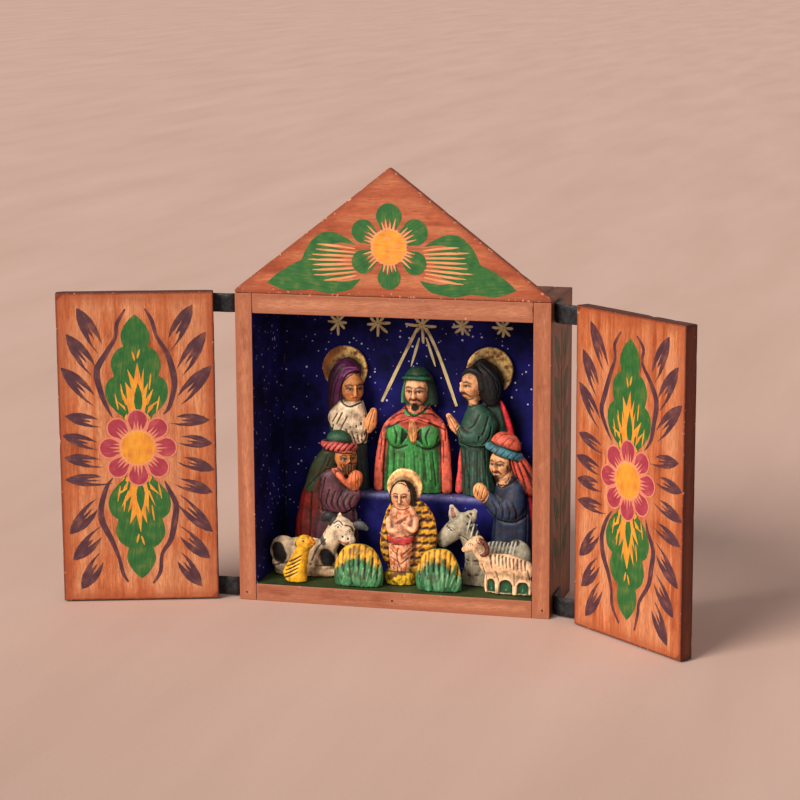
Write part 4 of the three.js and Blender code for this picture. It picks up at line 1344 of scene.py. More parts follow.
def haloed_woman():
    clay = Clay()
    clay.tower("#1F3A3E", [
        [0.5, 0, 0, 9, 5], [0.2, 0, 10, 8.2, 4.8], [-0.3, 0, 20, 8, 4.7], [-0.8, 0, 27, 7.4, 4.4],
        [0.8, 0, 34, 4, 3.6]], folds=11, depth=0.1)
    bib = clay.tower("#D8C2A4", [
        [3.2, -1.2, 19.4, 4.4, 3.4], [1.6, -0.9, 22.5, 6.8, 4.4], [0.4, -0.7, 26, 8, 4.8],
        [-0.2, -0.4, 30.5, 8.3, 4.9], [1.4, -0.2, 36.6, 4.8, 4.2]])
    plate = clay.plate(GOLD, (-2.4, 3.6, 49), 9.8, 1.7, mottle=GOLD_STAIN_AND_SHADE)
    # painted shadow: the left side of the halo is made brown
    clay.mark([(-11, 46), (-9.4, 53), (-5, 57)], 5, GOLD_STAIN_AND_SHADE, 0, on=[plate], soft=3.0)
    veil = clay.tower("#561B4A", [
        [-5.2, 1.8, 32, 4.2, 3], [-4.2, 1.4, 38, 5.2, 4], [-2.2, 0.8, 45, 6.6, 4.8],
        [-1, 0.4, 50, 5.8, 4.6], [-0.6, 0.3, 53.6, 2.2, 2]])
    # her skin is browner than the others', partly its own colour and partly painted shade
    head = clay.egg("#C98850", (2.2, -1.5, 42.2), (4.5, 3.9, 6.7), spin=18)
    clay.limb("#D8C2A4", [(2, -2.6, 25), (6.4, -3.2, 25.4)], [3.0, 2.0])
    praying_hands(clay, (11.4, -3.2, 33.0), (9.2, -3.2, 25.2), 2.75, "#E29A60")
    model_face(clay, (2.4, -1.3, 41.6), 6.4, 26, head, "#B0603A")
    clay.cuts([
        [(-7.2, 33.2), (-4.6, 43.2), (0.2, 50.0), (4.6, 48.8)], [(-8.2, 36), (-6, 44.6), (-1.4, 51.4)],
        [(-3.6, 34), (-2.6, 41.6), (0.6, 47.4)]], 0.5, "#2A0A24", -0.35, on=[veil])
    # painted shade: the left side of the veil is made dark
    clay.mark([(-9, 33), (-8.6, 42), (-6.8, 49)], 6.5, "#2C0E22", 0, on=[veil], soft=3.0)
    # painted highlights: light purple lines along raised folds of the veil
    clay.cuts([
        [(-3, 46), (0, 50.4), (3.8, 50.4)], [(-1, 47), (1.6, 49.4), (4.4, 49.6)]], 0.45, "#A24C9C", 0.15,
        on=[veil])
    clay.mark([(-2.2, 35.4), (-2.2, 42), (0.4, 47.6), (4.6, 48.4), (6.9, 45.4)], 0.6, "#230A1C", -0.2,
              on=[veil, head])
    clay.mark([(-2.8, 36.8), (1.4, 34.6), (6.6, 36.6)], 0.7, CLOTH_LINE, -0.45, on=[bib, head, veil])
    clay.cuts([
        [(-1.6, 32), (-4, 27.4)], [(0.6, 30.6), (-2.4, 24.8)], [(-3.8, 31.6), (-6, 28)],
        [(-5.6, 26.8), (-6.8, 23.4)], [(2, 26.4), (3.6, 21)], [(4.4, 27), (5.2, 20.6)],
        [(6.2, 28), (6.6, 22)], [(0.2, 25.4), (1.6, 21.2)], [(7.6, 33.4), (8.2, 27), (7.4, 22.8)]],
        [0.6, 0.45], "#3A2018", -0.4, on=[bib])
    for i in range(9):
        x = -5.6 + 1.5 * i
        clay.mark([(x, 23.6 - 0.5 * abs(i - 3)), (x + 0.5, 19.6 + 0.3 * (i % 3))], [0.5, 0.35], "#4A2A1C",
                  -0.45, on=[bib])
    clay.mark([(-8, 23), (-2, 20), (3, 18.2), (7.4, 20.2), (8.4, 25.4)], 0.6, CLOTH_LINE, -0.3)
    clay.mark([(7.2, 24.6), (8, 29.4), (9.4, 33.6)], 0.5, CLOTH_LINE, -0.2, on=[bib])
    return clay


# %% [markdown]
# The middle figure faces forward. A salmon cloak hangs at both sides of a green robe and is knotted
# under the chin; the hands come up between two full sleeves.


# %% The robed man
def robed_man():
    clay = Clay()
    robe = clay.tower("#3F8F4A", [
        [0.2, -0.8, 0, 12.6, 4.3], [0.2, -0.7, 12, 11.8, 4.5], [0.6, -0.6, 24, 10.2, 4.4],
        [1.4, -0.2, 34, 5, 3.6]], folds=11, depth=0.08)
    cloak = clay.tower("#CC5B40", [
        [-0.2, 1.8, 0, 16.8, 3], [0, 1.8, 12, 16, 3], [0.4, 1.8, 23, 14.6, 3.2], [1, 1.5, 30, 11.4, 3.2],
        [1.6, 1, 34.6, 5, 3]], folds=13, depth=0.07)
    hems = [clay.limb("#D26650", [
        (side * 10.4 + 1.3, -1, 30), (side * 12.2 + 0.9, -1.6, 25), (side * 13.6 + 0.3, -1.4, 13),
        (side * 14.2, -1.2, 1.8)], [0.8, 1.8, 2.4, 2.4], 0.7) for side in (-1, 1)]
    collar = clay.tower("#C25A49", [
        [1.4, -0.3, 26.6, 12, 4.7], [1.5, -0.3, 29.5, 11.4, 5], [1.6, 0.1, 32.4, 8.2, 4.4],
        [1.7, 0.9, 35.4, 5.2, 3.2]])
    neck = clay.egg("#E3A57A", (1.7, -1.3, 33.8), (3.4, 2.5, 3.4))
    cloth = clay.tower("#1F4E38", [
        [2.5, 1.8, 35.8, 8.2, 2.8], [2.3, 1.7, 40.5, 7.5, 3.1], [2.2, 1.2, 45, 6.4, 3.9],
        [2.1, 0.7, 48.4, 5.4, 4.2], [2, 0.5, 51.4, 2.4, 2.2]])
    # painted light and shade: a lighter strip on the headcloth's left, a dark one on its right
    clay.mark([(-5.4, 36), (-5.2, 41), (-4.4, 45)], 2.4, "#4A8C58", 0, on=[cloth], soft=1.0)
    clay.mark([(9.6, 36), (9.4, 42), (7.4, 48)], 3.4, "#10241A", 0, on=[cloth], soft=1.5)
    head = clay.egg("#EDB488", (1.7, -1.6, 42.2), (4.7, 3.9, 6.8))
    band = clay.limb("#265C42", [(-3.8, -1.4, 46.9), (-1.4, -3.9, 47.4), (1.9, -4.6, 47.6), (5.2, -3.9, 47.4),
                                 (7.6, -1.4, 46.9)], [0.7, 0.95, 1.0, 0.95, 0.7])
    left_sleeve = clay.egg("#3F8F4A", (-5.2, -3.0, 23.6), (5.4, 3.2, 5.3), 14)
    right_sleeve = clay.egg("#3F8F4A", (6.6, -3.0, 23.8), (5.4, 3.2, 5.3), -14)
    praying_hands(clay, (1.2, -5.6, 29.8), (1.3, -5.2, 22.4), 1.9, "#E8A468")
    clay.limb("#C25A49", [(-3.4, -4.4, 29.8), (0.6, -5, 30.6)], [1.3, 1.4])
    clay.limb("#C25A49", [(6.8, -4.4, 29.8), (2.6, -5, 30.6)], [1.3, 1.4])
    model_face(clay, (1.7, -1.5, 41.6), 6.5, 0, head, "#DE9066", hair="#1B1210", beard="line", neck=neck)
    clay.mark([(-4, 36.2), (-1.6, 33.6), (1.6, 32.2), (5, 33.8), (7.2, 36.4)], 0.7, CLOTH_LINE, -0.4)
    clay.cuts([
        [(-10.6, 28.4), (-5, 32.4), (0.4, 33)], [(-9.6, 31), (-5, 34), (-1.6, 34.6)],
        [(13.6, 28.8), (8.6, 32.6), (3, 33)], [(12.6, 31.4), (8.6, 34.2), (5, 34.8)],
        [(-8.6, 27), (-3.4, 30.4), (0, 32)], [(11.6, 27.4), (6.6, 30.6), (3.2, 32)]],
        [0.6, 0.5, 0.35], "#5A1A18", -0.35, on=[collar])
    clay.mark([(-11.2, 26), (-5.6, 28.8), (-0.8, 31)], 0.5, "#2A0E0C", -0.3)
    clay.mark([(14.2, 26.4), (8.8, 29), (3.8, 31)], 0.5, "#2A0E0C", -0.3)
    for x, side in ((-5.2, -1), (6.6, 1)):
        sleeve = [left_sleeve if side < 0 else right_sleeve]
        clay.mark([(x + side * 1.6, 27.4), (x + side * 0.2, 24), (x + side * 0.8, 20.4)], [0.5, 0.9, 0.4],
                  "#0E2A18", -0.5, on=sleeve)
        # painted shade: a broad dark patch inside each sleeve opening by the hands
        clay.mark([(x - side * 2.2, 26.6), (x - side * 3.0, 23.4), (x - side * 1.6, 20.6)], [0.6, 2.6, 0.8],
                  "#10281A", -0.6, on=sleeve, soft=0.8)
        clay.mark([(x + side * 5, 24), (x + side * 3.4, 19.6), (x, 18.4), (x - side * 4, 20)], 0.5,
                  "#0E2416", -0.3, on=[robe] + sleeve)
    for side, hem in zip((-1, 1), hems):
        clay.cuts([
            [(side * 9.4 + 1.2, 31), (side * 11 + 0.6, 24), (side * 11.8 + 0.2, 12), (side * 12.2, 0)],
            [(side * 13.4 + 0.8, 29), (side * 13.6 + 0.6, 22)], [(side * 12.8 + 0.5, 22), (side * 13.4, 13)]],
            [0.5, 0.7, 0.4], "#5A160E", -0.35, on=[hem, robe])
    # the robe's folds: darker green in the cut valleys and lighter green on the raised ridges, painted shade
    # and painted highlights
    clay.cuts([
        [(-6.8, 16), (-8, 2)], [(-2.4, 17), (-2.8, 6)], [(1.6, 17.4), (2, 1)], [(5.4, 16.4), (6.6, 5)],
        [(8.8, 17), (10.2, 3)]], [0.3, 0.9, 0.5], "#1C5A2C", -0.3, on=[robe])
    clay.cuts([
        [(-5, 16), (-6, 3)], [(-0.4, 16.6), (-0.4, 3)], [(3.6, 16), (4.4, 2)], [(7.4, 16.4), (8.2, 6)]],
        [0.3, 1.0, 0.5], "#6FB36A", 0.2, on=[robe])
    clay.cuts([
        [(-12.4, 22), (-13.6, 12), (-14, 2)], [(13.6, 22), (14, 12), (14.6, 2)]], 0.45, "#6A1E14", -0.3,
        on=[cloak])
    clay.mark([(-4.8, 46.4), (1.8, 47), (8.6, 46.6)], 0.35, "#0C1E14", -0.1, on=[head, band, cloth])
    return clay


# %% The haloed man
def haloed_man():
    clay = Clay()
    robe = clay.tower("#2A5042", [
        [0.4, -0.6, 0, 7.8, 4.6], [-0.8, -0.6, 10, 6.6, 4.4], [-1.8, -0.5, 18, 6.2, 4.2],
        [-1.4, -0.5, 24, 6.6, 4.4], [-0.6, -0.5, 30, 6.8, 4.4], [-1.6, -0.6, 37, 3.4, 3.4]],
        folds=11, depth=0.08)
    blouse = clay.tower("#2D5646", [
        [-1.6, -1.2, 20.6, 6.8, 4.4], [-1.2, -1.2, 24, 7.6, 4.8], [0, -0.9, 30, 7.6, 4.6],
        [0, -0.6, 34.4, 5, 4], [-1.4, -0.6, 37.6, 3, 3]])
    cape = clay.tower("#23483A", [
        [2.2, 2.2, 0, 11, 2.8], [2.8, 2.2, 12, 10.6, 2.8], [4.6, 2.1, 24, 8.8, 2.8], [5.6, 1.8, 32, 6.6, 2.8],
        [4.6, 1.4, 39, 3, 2.4]], folds=13, depth=0.08)
    clay.limb("#CC2C38", [(8.8, 0, 38.4), (11.2, 0.2, 31.6), (12.8, 0.4, 24), (13.2, 0.8, 10),
                          (13, 0.8, 1)], [0.7, 1.3, 1.6, 1.5, 1.3], 0.9)
    clay.limb("#D9564F", [(-6.0, 0.2, 25.4), (-7.2, 0.2, 18), (-8, 0.2, 9), (-8.8, 0.2, 1.6)],
              [0.7, 1.4, 1.7, 1.8], 0.9)
    clay.plate(GOLD, (3.1, 3.6, 50.4), 9.9, 1.7, mottle=GOLD_STAIN_AND_SHADE)
    head = clay.egg("#EBAF7C", (-3.6, -1.3, 45.4), (4.2, 3.9, 6.5), 6, -30)
    neck = clay.egg("#EBAF7C", (-2.6, -1.2, 39.2), (2.5, 2.6, 3.2))
    hair = clay.tower("#12161A", [
        [4.6, 1, 37, 3.4, 3], [4.2, 0.7, 41, 5, 4.1], [2.8, 0.5, 47, 6.3, 4.7], [1.2, 0.4, 51.4, 6, 4.4],
        [0.2, 0.3, 55.2, 2, 1.9]])
    fringe = clay.limb("#12161A", [(-6.6, -2.4, 49.6), (-3.6, -3.0, 51.6), (0.2, -3.0, 50), (1.4, -3.0, 44)],
                       [0.9, 1.5, 1.8, 1.4])
    clay.limb("#2D5646", [(-1, -3.4, 24.6), (-4.6, -3.8, 24.4), (-7.4, -3.6, 27)], [3.4, 3.1, 2.2])
    praying_hands(clay, (-12.2, -3.6, 32.6), (-8.8, -3.6, 26.4), 2.3, "#EBA873")
    model_face(clay, (-3.8, -1.3, 44.8), 6.2, -50, head, "#DE9066", hair="#14100E", beard="line", neck=neck)
    clay.cuts([
        [(1, 53.6), (5.6, 49.4), (7.4, 43.6)], [(-1.6, 53.4), (3.4, 48.6), (5, 41)],
        [(3.2, 52), (8, 46), (7.2, 40)], [(-6.6, 50.4), (-6.2, 48)], [(-5, 51.4), (-4.8, 48.6)],
        [(-3.4, 51.6), (-3.2, 49)]], 0.4, "#05070A", -0.25, on=[hair, fringe])
    clay.mark([(-5.4, 37.4), (-3, 36.6), (0.6, 38.8)], 0.5, CLOTH_LINE, -0.3, on=[robe, blouse, cape])
    clay.cuts([
        [(4.2, 33), (2.6, 27), (-0.6, 22.6)], [(0.6, 33.6), (-1.4, 29.6), (-3.6, 28)],
        [(5.4, 29), (4.6, 24.6), (2, 21.6)], [(-2.4, 26.6), (0.4, 24.8), (2.4, 25.6)]],
        [0.4, 0.7, 0.4], "#0F211B", -0.45, on=[blouse])
    # painted shade: a dark line under the blouse where it hangs over the robe
    clay.mark([(-7.8, 21.8), (-2, 20.4), (5, 20.8)], 0.8, "#0A1512", -0.5)
    clay.cuts([[(8, 37.6), (9.8, 31), (11, 24), (11.4, 10), (11.4, 0)]], 0.5, "#2A060C", -0.25)
    # the robe's folds: darker in the cut valleys and lighter on the raised ridges, painted shade and painted
    # highlights
    clay.cuts([[(-3.4, 18.6), (-3.8, 3)], [(-0.4, 18.8), (-0.2, 6)], [(2.6, 19), (3.6, 2)]],
              [0.3, 0.9, 0.4], "#14302A", -0.3, on=[robe])
    clay.cuts([[(-2, 18.4), (-2.2, 4)], [(1.2, 18.6), (1.8, 5)]], [0.3, 0.9, 0.4], "#5A7A62", 0.15, on=[robe])
    clay.cuts([[(-5.2, 19.6), (-5.8, 11), (-6.6, 1)]], 0.4, "#4A120E", -0.25)
    clay.mark([(-8, 27.6), (-6.2, 24)], 0.4, "#0F211B", -0.3)
    return clay


# %% [markdown]
# ## The kneeling men
# Both kneel on the floor before the ledge, pressed thin so that the front row has room.


# %% The kneeling man on the left
def kneeling_man_left():
    clay = Clay()
    cloak = clay.tower("#73190F", [
        [-6.4, 0.8, 0, 9.2, 2.7], [-6.4, 0.8, 14, 9.4, 2.8], [-5.6, 0.8, 26, 8.6, 2.8], [-4, 0.8, 36, 7, 2.8],
        [-0.6, 0.6, 44, 4, 2.6]], folds=13, depth=0.09)
    skirt = clay.tower("#51303A", [
        [1.2, -0.2, 0, 10.4, 3.4], [1.2, -0.2, 10, 10.8, 3.4], [1.8, -0.2, 20, 10.2, 3.4],
        [2.6, -0.2, 28, 8.4, 3.4], [2, 0, 38, 6.2, 3.2], [3, 0, 44, 3.4, 3]], folds=11, depth=0.1)
    veil = clay.tower("#2D3A20", [
        [-7.4, 0.7, 33.4, 4.2, 2.7], [-5.4, 0.6, 38, 5.2, 2.9], [-2.4, 0.4, 45, 5.4, 3.1],
        [0.8, 0.2, 51, 4.4, 3.1]])
    sleeve = clay.limb("#5E3440", [(0.2, -1.2, 38.6), (1.6, -1.8, 31), (6.2, -1.8, 29), (10.2, -1.6, 33.4)],
                       [4.4, 5.6, 4.8, 3.2], 0.52)
    clay.limb("#CF6A44", [(2.6, -2.4, 43), (5.8, -3.0, 39.6), (9, -3.0, 36.8)], [1.0, 1.3, 1.4], 0.8)
    head = clay.egg("#CB8248", (6.9, -0.7, 48), (4.6, 3.3, 5.8), spin=30)
    beard = clay.tower("#6A4226", [
        [7.6, -1.2, 41.2, 1.6, 1.6], [8, -1.4, 43.4, 2.8, 2.4], [8, -1.3, 46, 3.6, 2.7]])
    turban = clay.limb("#B95650", [(-2.6, 0, 53.4), (0.4, -2.5, 52.9), (3.8, -3.1, 52.7), (7.4, -2.5, 52.6),
                                   (10.2, 0, 52.4)], [1.7, 2.0, 2.1, 2.0, 1.6])
    clay.egg("#B95650", (3.8, 0.4, 53), (7.0, 3.2, 2.3))
    clay.egg("#24513A", (3.7, 0.2, 55.4), (5.4, 3.4, 3.9))
    hands = clay.egg("#DC7C4A", (10.9, -1.9, 39), (3.1, 2.5, 4.5), 22)
    clay.fine.append(((10.9, -1.9, 39), 5))
    model_face(clay, (7.2, -0.8, 47.6), 5.7, 32, head, "#B5603A", hair="#3A2012")
    clay.cuts([[(5.6, 45.8), (6.2, 42)], [(7.2, 45.4), (7.4, 41.2)], [(8.8, 45.4), (8.6, 41.6)],
               [(10, 46), (9.6, 42.6)]], 0.35, "#2A160C", -0.3, on=[beard, head])
    for i in range(6):
        x = -2.4 + 2.3 * i
        clay.mark([(x, 51.2), (x + 2.4, 54.4)], [0.7, 0.4], "#5E1618", -0.45, on=[turban])
    clay.mark([(-3, 54.8), (3.6, 55.2), (10.2, 54.2)], 0.45, "#10180F", -0.2)
    clay.mark([(-2.4, 50.9), (3.8, 50.4), (9.8, 50.2)], 0.45, "#1B0E0A", -0.3, on=[turban, head, veil])
    for i in range(5):
        x = 9.8 - 2.5 * i
        clay.mark([(x + 0.8, 33 + 0.5 * i), (x - 0.8, 29.6), (x + 0.4, 26 + 0.4 * i)], [0.4, 0.8, 0.4],
                  "#2A1218", -0.5, on=[sleeve, skirt])
    clay.mark([(-4.6, 26.4), (1.4, 25.2), (7, 25.4), (12.4, 29)], 0.8, "#1A0A0E", -0.45, on=[skirt, sleeve])
    clay.cuts([[(-1.6, 39.6), (-3.4, 31), (-3, 25.6)], [(-7.4, 36), (-8.4, 22), (-9, 4)]], 0.7,
              "#240808", -0.4, on=[cloak, skirt, sleeve])
    clay.mark([(1.6, 44.6), (5, 40.6), (8.6, 37.6), (12, 34.6)], 0.5, "#180A0A", -0.3, on=[sleeve, skirt])
    clay.mark([(-9.8, 35), (-4.4, 40.4), (1.4, 44)], 0.5, "#11160C", -0.3, on=[veil, cloak, skirt])
    clay.cuts([[(-6.6, 37), (-3, 43), (-0.6, 49)], [(-4, 37.6), (-1.4, 43), (1, 48)]], 0.4, "#151C0E", -0.3,
              on=[veil])
    clay.cuts([[(10, 42.6), (9.6, 37)], [(11.6, 42.8), (11.6, 36.6)], [(12.8, 41), (12.6, 37.4)]], 0.3,
              "#8E3A20", -0.25, on=[hands])
    return clay


# %% The kneeling man on the right
def kneeling_man_right():
    clay = Clay()
    robe = clay.tower("#26324A", [
        [-0.6, 0, 0, 9.6, 3.5], [0.4, 0, 12, 8.8, 3.5], [1.2, 0, 22, 8, 3.4], [1.2, 0, 30, 7.2, 3.4],
        [0.6, 0, 38, 6.2, 3.2], [-1.2, 0, 44, 3.6, 2.8]], folds=9, depth=0.07)
    clay.limb("#C22C3C", [(7.6, 1.6, 37), (8.9, 1.6, 28), (8.7, 1.6, 15), (7.6, 1.5, 1.2)],
              [1.0, 1.1, 1.3, 1.2], 0.9)
    sleeve = clay.limb("#2A3850", [(2.6, -1.2, 38), (1.6, -1.8, 31.4), (-3.4, -1.8, 30.4), (-7.8, -1.6, 34)],
                       [4.2, 5.4, 4.6, 3.2], 0.54)
    veil = clay.limb("#B64A36", [(1.6, 0.5, 52.4), (5.2, 0.6, 46.4), (8.2, 0.9, 40)], [3.4, 4.2, 4.4], 0.66)
    neck = clay.egg("#E9AC78", (-1.8, -0.9, 42.8), (3.4, 2.5, 4.0), 10)
    head = clay.egg("#E9AC78", (-3.6, -0.7, 48.6), (4.5, 3.3, 6.1), 8, -20)
    band = clay.limb("#46808A", [(-8.2, -0.4, 55.8), (-5.6, -2.7, 55.2), (-1.8, -3.2, 53.9),
                                 (1.8, -2.4, 52.6), (4.6, 0, 51.8)], [1.5, 1.8, 2.0, 1.9, 1.7])
    clay.egg("#46808A", (-2, 0.2, 54), (6.6, 3.2, 2.4), 18)
    cap = clay.egg("#D2634A", (-1.2, 0.1, 56.2), (6.5, 3.7, 5.4), 18)
    hands = clay.egg("#EDA870", (-11, -1.7, 36.8), (3.2, 2.5, 4.2), -24)
    clay.fine.append(((-11, -1.7, 36.8), 5))
    model_face(clay, (-3.8, -0.8, 48.2), 5.8, -20, head, "#DE9066", hair="#1B1210", beard="line", neck=neck)
    for i in range(5):
        x = -7 + 2.4 * i
        clay.mark([(x, 54.6 - 0.3 * (x + 8)), (x + 1.6, 56.4 - 0.3 * (x + 8))], [0.5, 0.3], "#1E4A54",
                  -0.2, on=[band])
    clay.mark([(-8.8, 53.9), (-2.4, 51.9), (4.4, 49.9)], 0.5, "#1B0E0A", -0.3, on=[band, head, veil])
    clay.mark([(-7.8, 57.8), (-1.8, 56.2), (5, 53.6)], 0.45, "#1C1210", -0.25, on=[band, cap])
    clay.cuts([[(-5, 58), (-2.6, 60.6), (0.6, 61)], [(0.6, 56), (2.6, 58.6)], [(-2, 57), (0.4, 59.6)]],
              0.35, "#8E3226", -0.15, on=[cap])
    clay.cuts([[(3.4, 50.6), (5.4, 45.6), (7.4, 39)], [(5.4, 50.2), (8.4, 44.4), (10.4, 38.6)],
               [(1.8, 50.2), (3, 45.6), (5.2, 39)], [(6.6, 48.8), (10, 42.6), (11.8, 38.6)]],
              [0.5, 0.8, 0.4], "#4E140E", -0.4, on=[veil])
    clay.mark([(0.8, 50.6), (1.6, 46), (4.6, 40.4)], 0.5, "#1B0A08", -0.25, on=[head, veil, neck])
    clay.mark([(-5, 41.2), (-2.6, 39.2), (1.2, 41), (3.6, 43)], 0.5, "#0C1018", -0.3)
    for i in range(4):
        x = -6 + 2.8 * i
        clay.mark([(x, 33.6), (x + 1.6, 30), (x + 1.2, 26.6)], [0.4, 0.8, 0.4], "#0F1520", -0.45,
                  on=[sleeve, robe])
    clay.mark([(-8.8, 31), (-3.6, 26), (3, 25.4), (7.4, 28)], 0.8, "#0A0D14", -0.45, on=[sleeve, robe])
    clay.cuts([[(7.6, 37), (7.6, 28), (7.4, 15), (6.4, 1)]], 0.4, "#2E060C", -0.25)
    clay.cuts([[(-9.4, 39), (-10.6, 34.4)], [(-11.2, 39.6), (-12.2, 35.2)], [(-12.8, 39.2), (-13.4, 36)]],
              0.3, "#9A4A2C", -0.25, on=[hands])
    return clay


# %% [markdown]
# ## The infant in the cradle
# The child stands up in its woven cradle so that it can be seen, wrapped from neck to feet and tied
# with a red band. The weave is short touches of brown over yellow in alternating rows.


# %% The infant
def infant_in_cradle():
    clay = Clay()
    foot = clay.tower("#DDB52A", [
        [-0.5, 0, 0, 6, 3], [-0.5, 0, 2.6, 6.6, 3.2], [-0.5, 0, 5, 6.2, 3], [-0.5, 0, 6.6, 5, 2.6]],
        mottle="#6A4A10")
    basket = clay.tower("#D29C30", [
        [1.2, 1, 4, 5, 2.2], [1.6, 1, 7, 8, 2.5], [2, 1, 12, 10.8, 2.7], [2.8, 1, 19, 12, 2.7],
        [3, 1, 27, 10.6, 2.6], [2.8, 1, 31.4, 8.6, 2.4], [2.6, 1, 34.4, 6, 2.2]], mottle="#7A4818")
    body = clay.tower("#E8AA84", [
        [-0.4, -0.6, 5.4, 4.2, 2.6], [-0.4, -0.9, 9, 4.6, 2.9], [-0.4, -1, 14, 4.9, 3.1],
        [0, -1, 20, 5.8, 3.2], [0.8, -0.8, 25, 7, 3.3], [1, -0.6, 30, 5.6, 3.1], [0.6, -0.5, 33, 3.4, 2.8]],
        folds=5, depth=0.05, mottle="#B4653E")
    halo = clay.plate("#E9BF86", (1, 1.7, 39.8), 7.6, 1.5, mottle="#C08A4E")
    hair = clay.egg("#1D1411", (0.7, -0.2, 37.0), (5.0, 3.0, 5.7))
    locks = clay.limb("#1D1411", [(3.4, -1.4, 40.4), (4.8, -1, 37), (5.2, -0.6, 33)], [1.0, 1.1, 0.8])
    clay.limb("#1D1411", [(-2.6, -1.4, 40.6), (-4.2, -1, 37), (-4, -0.6, 33)], [0.8, 0.8, 0.6])
    head = clay.egg("#EDB48A", (0.3, -1.3, 36.6), (4.2, 3.1, 5.4))
    left_arm = clay.limb("#E8AA84", [(-4.6, -2.2, 27), (-4, -3, 23), (-0.6, -3.4, 23)], [1.5, 1.5, 1.1])
    right_arm = clay.limb("#E8AA84", [(6.4, -2.2, 27.4), (5.6, -3, 23.2), (2.2, -3.4, 25.4)], [1.5, 1.5, 1.1])
    model_face(clay, (0.3, -1.2, 36.2), 5.0, 0, head, "#E08E6A", hair="#3A2018")
    for row in range(9):
        z = 8 + 3.1 * row
        for i in range(9):
            x = -10.4 + 3.0 * i + 1.5 * (row % 2)
            clay.mark([(x, z), (x + 1.7, z + 0.4)], [1.1, 1.3], "#56280F", -0.35, on=[basket], soft=0.5)
    clay.mark([(-5.2, 19.2), (-0.2, 18.4), (5.6, 19.4)], 2.5, "#CB3F42", 0.15, on=[body, left_arm, right_arm])
    clay.cuts([[(-5.2, 17.6), (-0.2, 16.9), (5.2, 17.8)], [(-5.4, 20.8), (0, 20), (5.6, 21)]], 0.3,
              "#6A1418", -0.25, on=[body])
    clay.cuts([[(-4, 15.4), (-0.6, 12.6)], [(4, 15.4), (0.6, 12.2)], [(-3.6, 11.6), (-0.4, 9.6)],
               [(3.4, 11.4), (0.4, 9)], [(-0.4, 15.6), (-1.2, 12.4), (-0.2, 8)]], 0.45, "#A65A36", -0.3,
              on=[body, left_arm, right_arm])
    # painted shade: a darker patch between the arms and a darker band down the body's right side by the
    # cradle
    clay.mark([(-1.6, 25.6), (1.2, 26.6), (3, 28.6)], [0.6, 2.2, 0.6], "#B87052", -0.3, on=[body], soft=0.8)
    clay.mark([(5.4, 9), (5.8, 16), (6.6, 23)], [1.2, 1.6, 1.0], "#7A3E20", -0.2, on=[body, basket], soft=1.0)
    clay.cuts([[(-2.8, 7.6), (-2.6, 5.8)], [(-1, 7.6), (-1, 5.8)], [(0.8, 7.6), (0.8, 5.8)]], 0.35,
              "#8A4426", -0.3, on=[body])
    clay.mark([(-3.9, 38), (-2.6, 41.6), (0.4, 42.9), (3.6, 41.2), (4.6, 37), (4.8, 33)], 0.5, "#140C0A",
              -0.15, on=[head, hair, locks])
    clay.mark([(-3, 32.4), (0.6, 31.2), (3.8, 32.2)], 0.35, "#A85A38", -0.3, on=[head, body])
    clay.mark([(-5.6, 5.4), (0, 5.6), (5, 5.4)], 0.4, "#3A2408", -0.2, on=[foot, body, basket])
    # painted highlight: a pale stroke on the halo's upper left
    clay.mark([(-6.2, 44), (-4, 46.2)], 0.3, "#F4DDB0", 0, on=[halo])
    return clay


# %% [markdown]
# ## The animals
# They lie or stand close to the front edge. Their coats are painted in plain patches and strokes,
# with a drawn eye and nostrils.


# %% Cow and donkey
def draw_eye(clay, spot, size, on, view=FRONT):
    """A simple almond eye with a dark outline."""
    x, z = spot
    clay.mark([(x - size, z), (x, z + 0.2 * size), (x + size, z)], [0.4 * size, 1.1 * size, 0.4 * size],
              "#EADBC0", 0.1, on=on, soft=0.2, view=view)
    clay.mark([(x, z)], 0.8 * size, "#1A100C", 0, on=on, soft=0.15, view=view)
    clay.mark([(x - 1.3 * size, z), (x, z + 0.95 * size), (x + 1.3 * size, z)], 0.3, "#3A1C10", 0, on=on,
              soft=0.15, view=view)


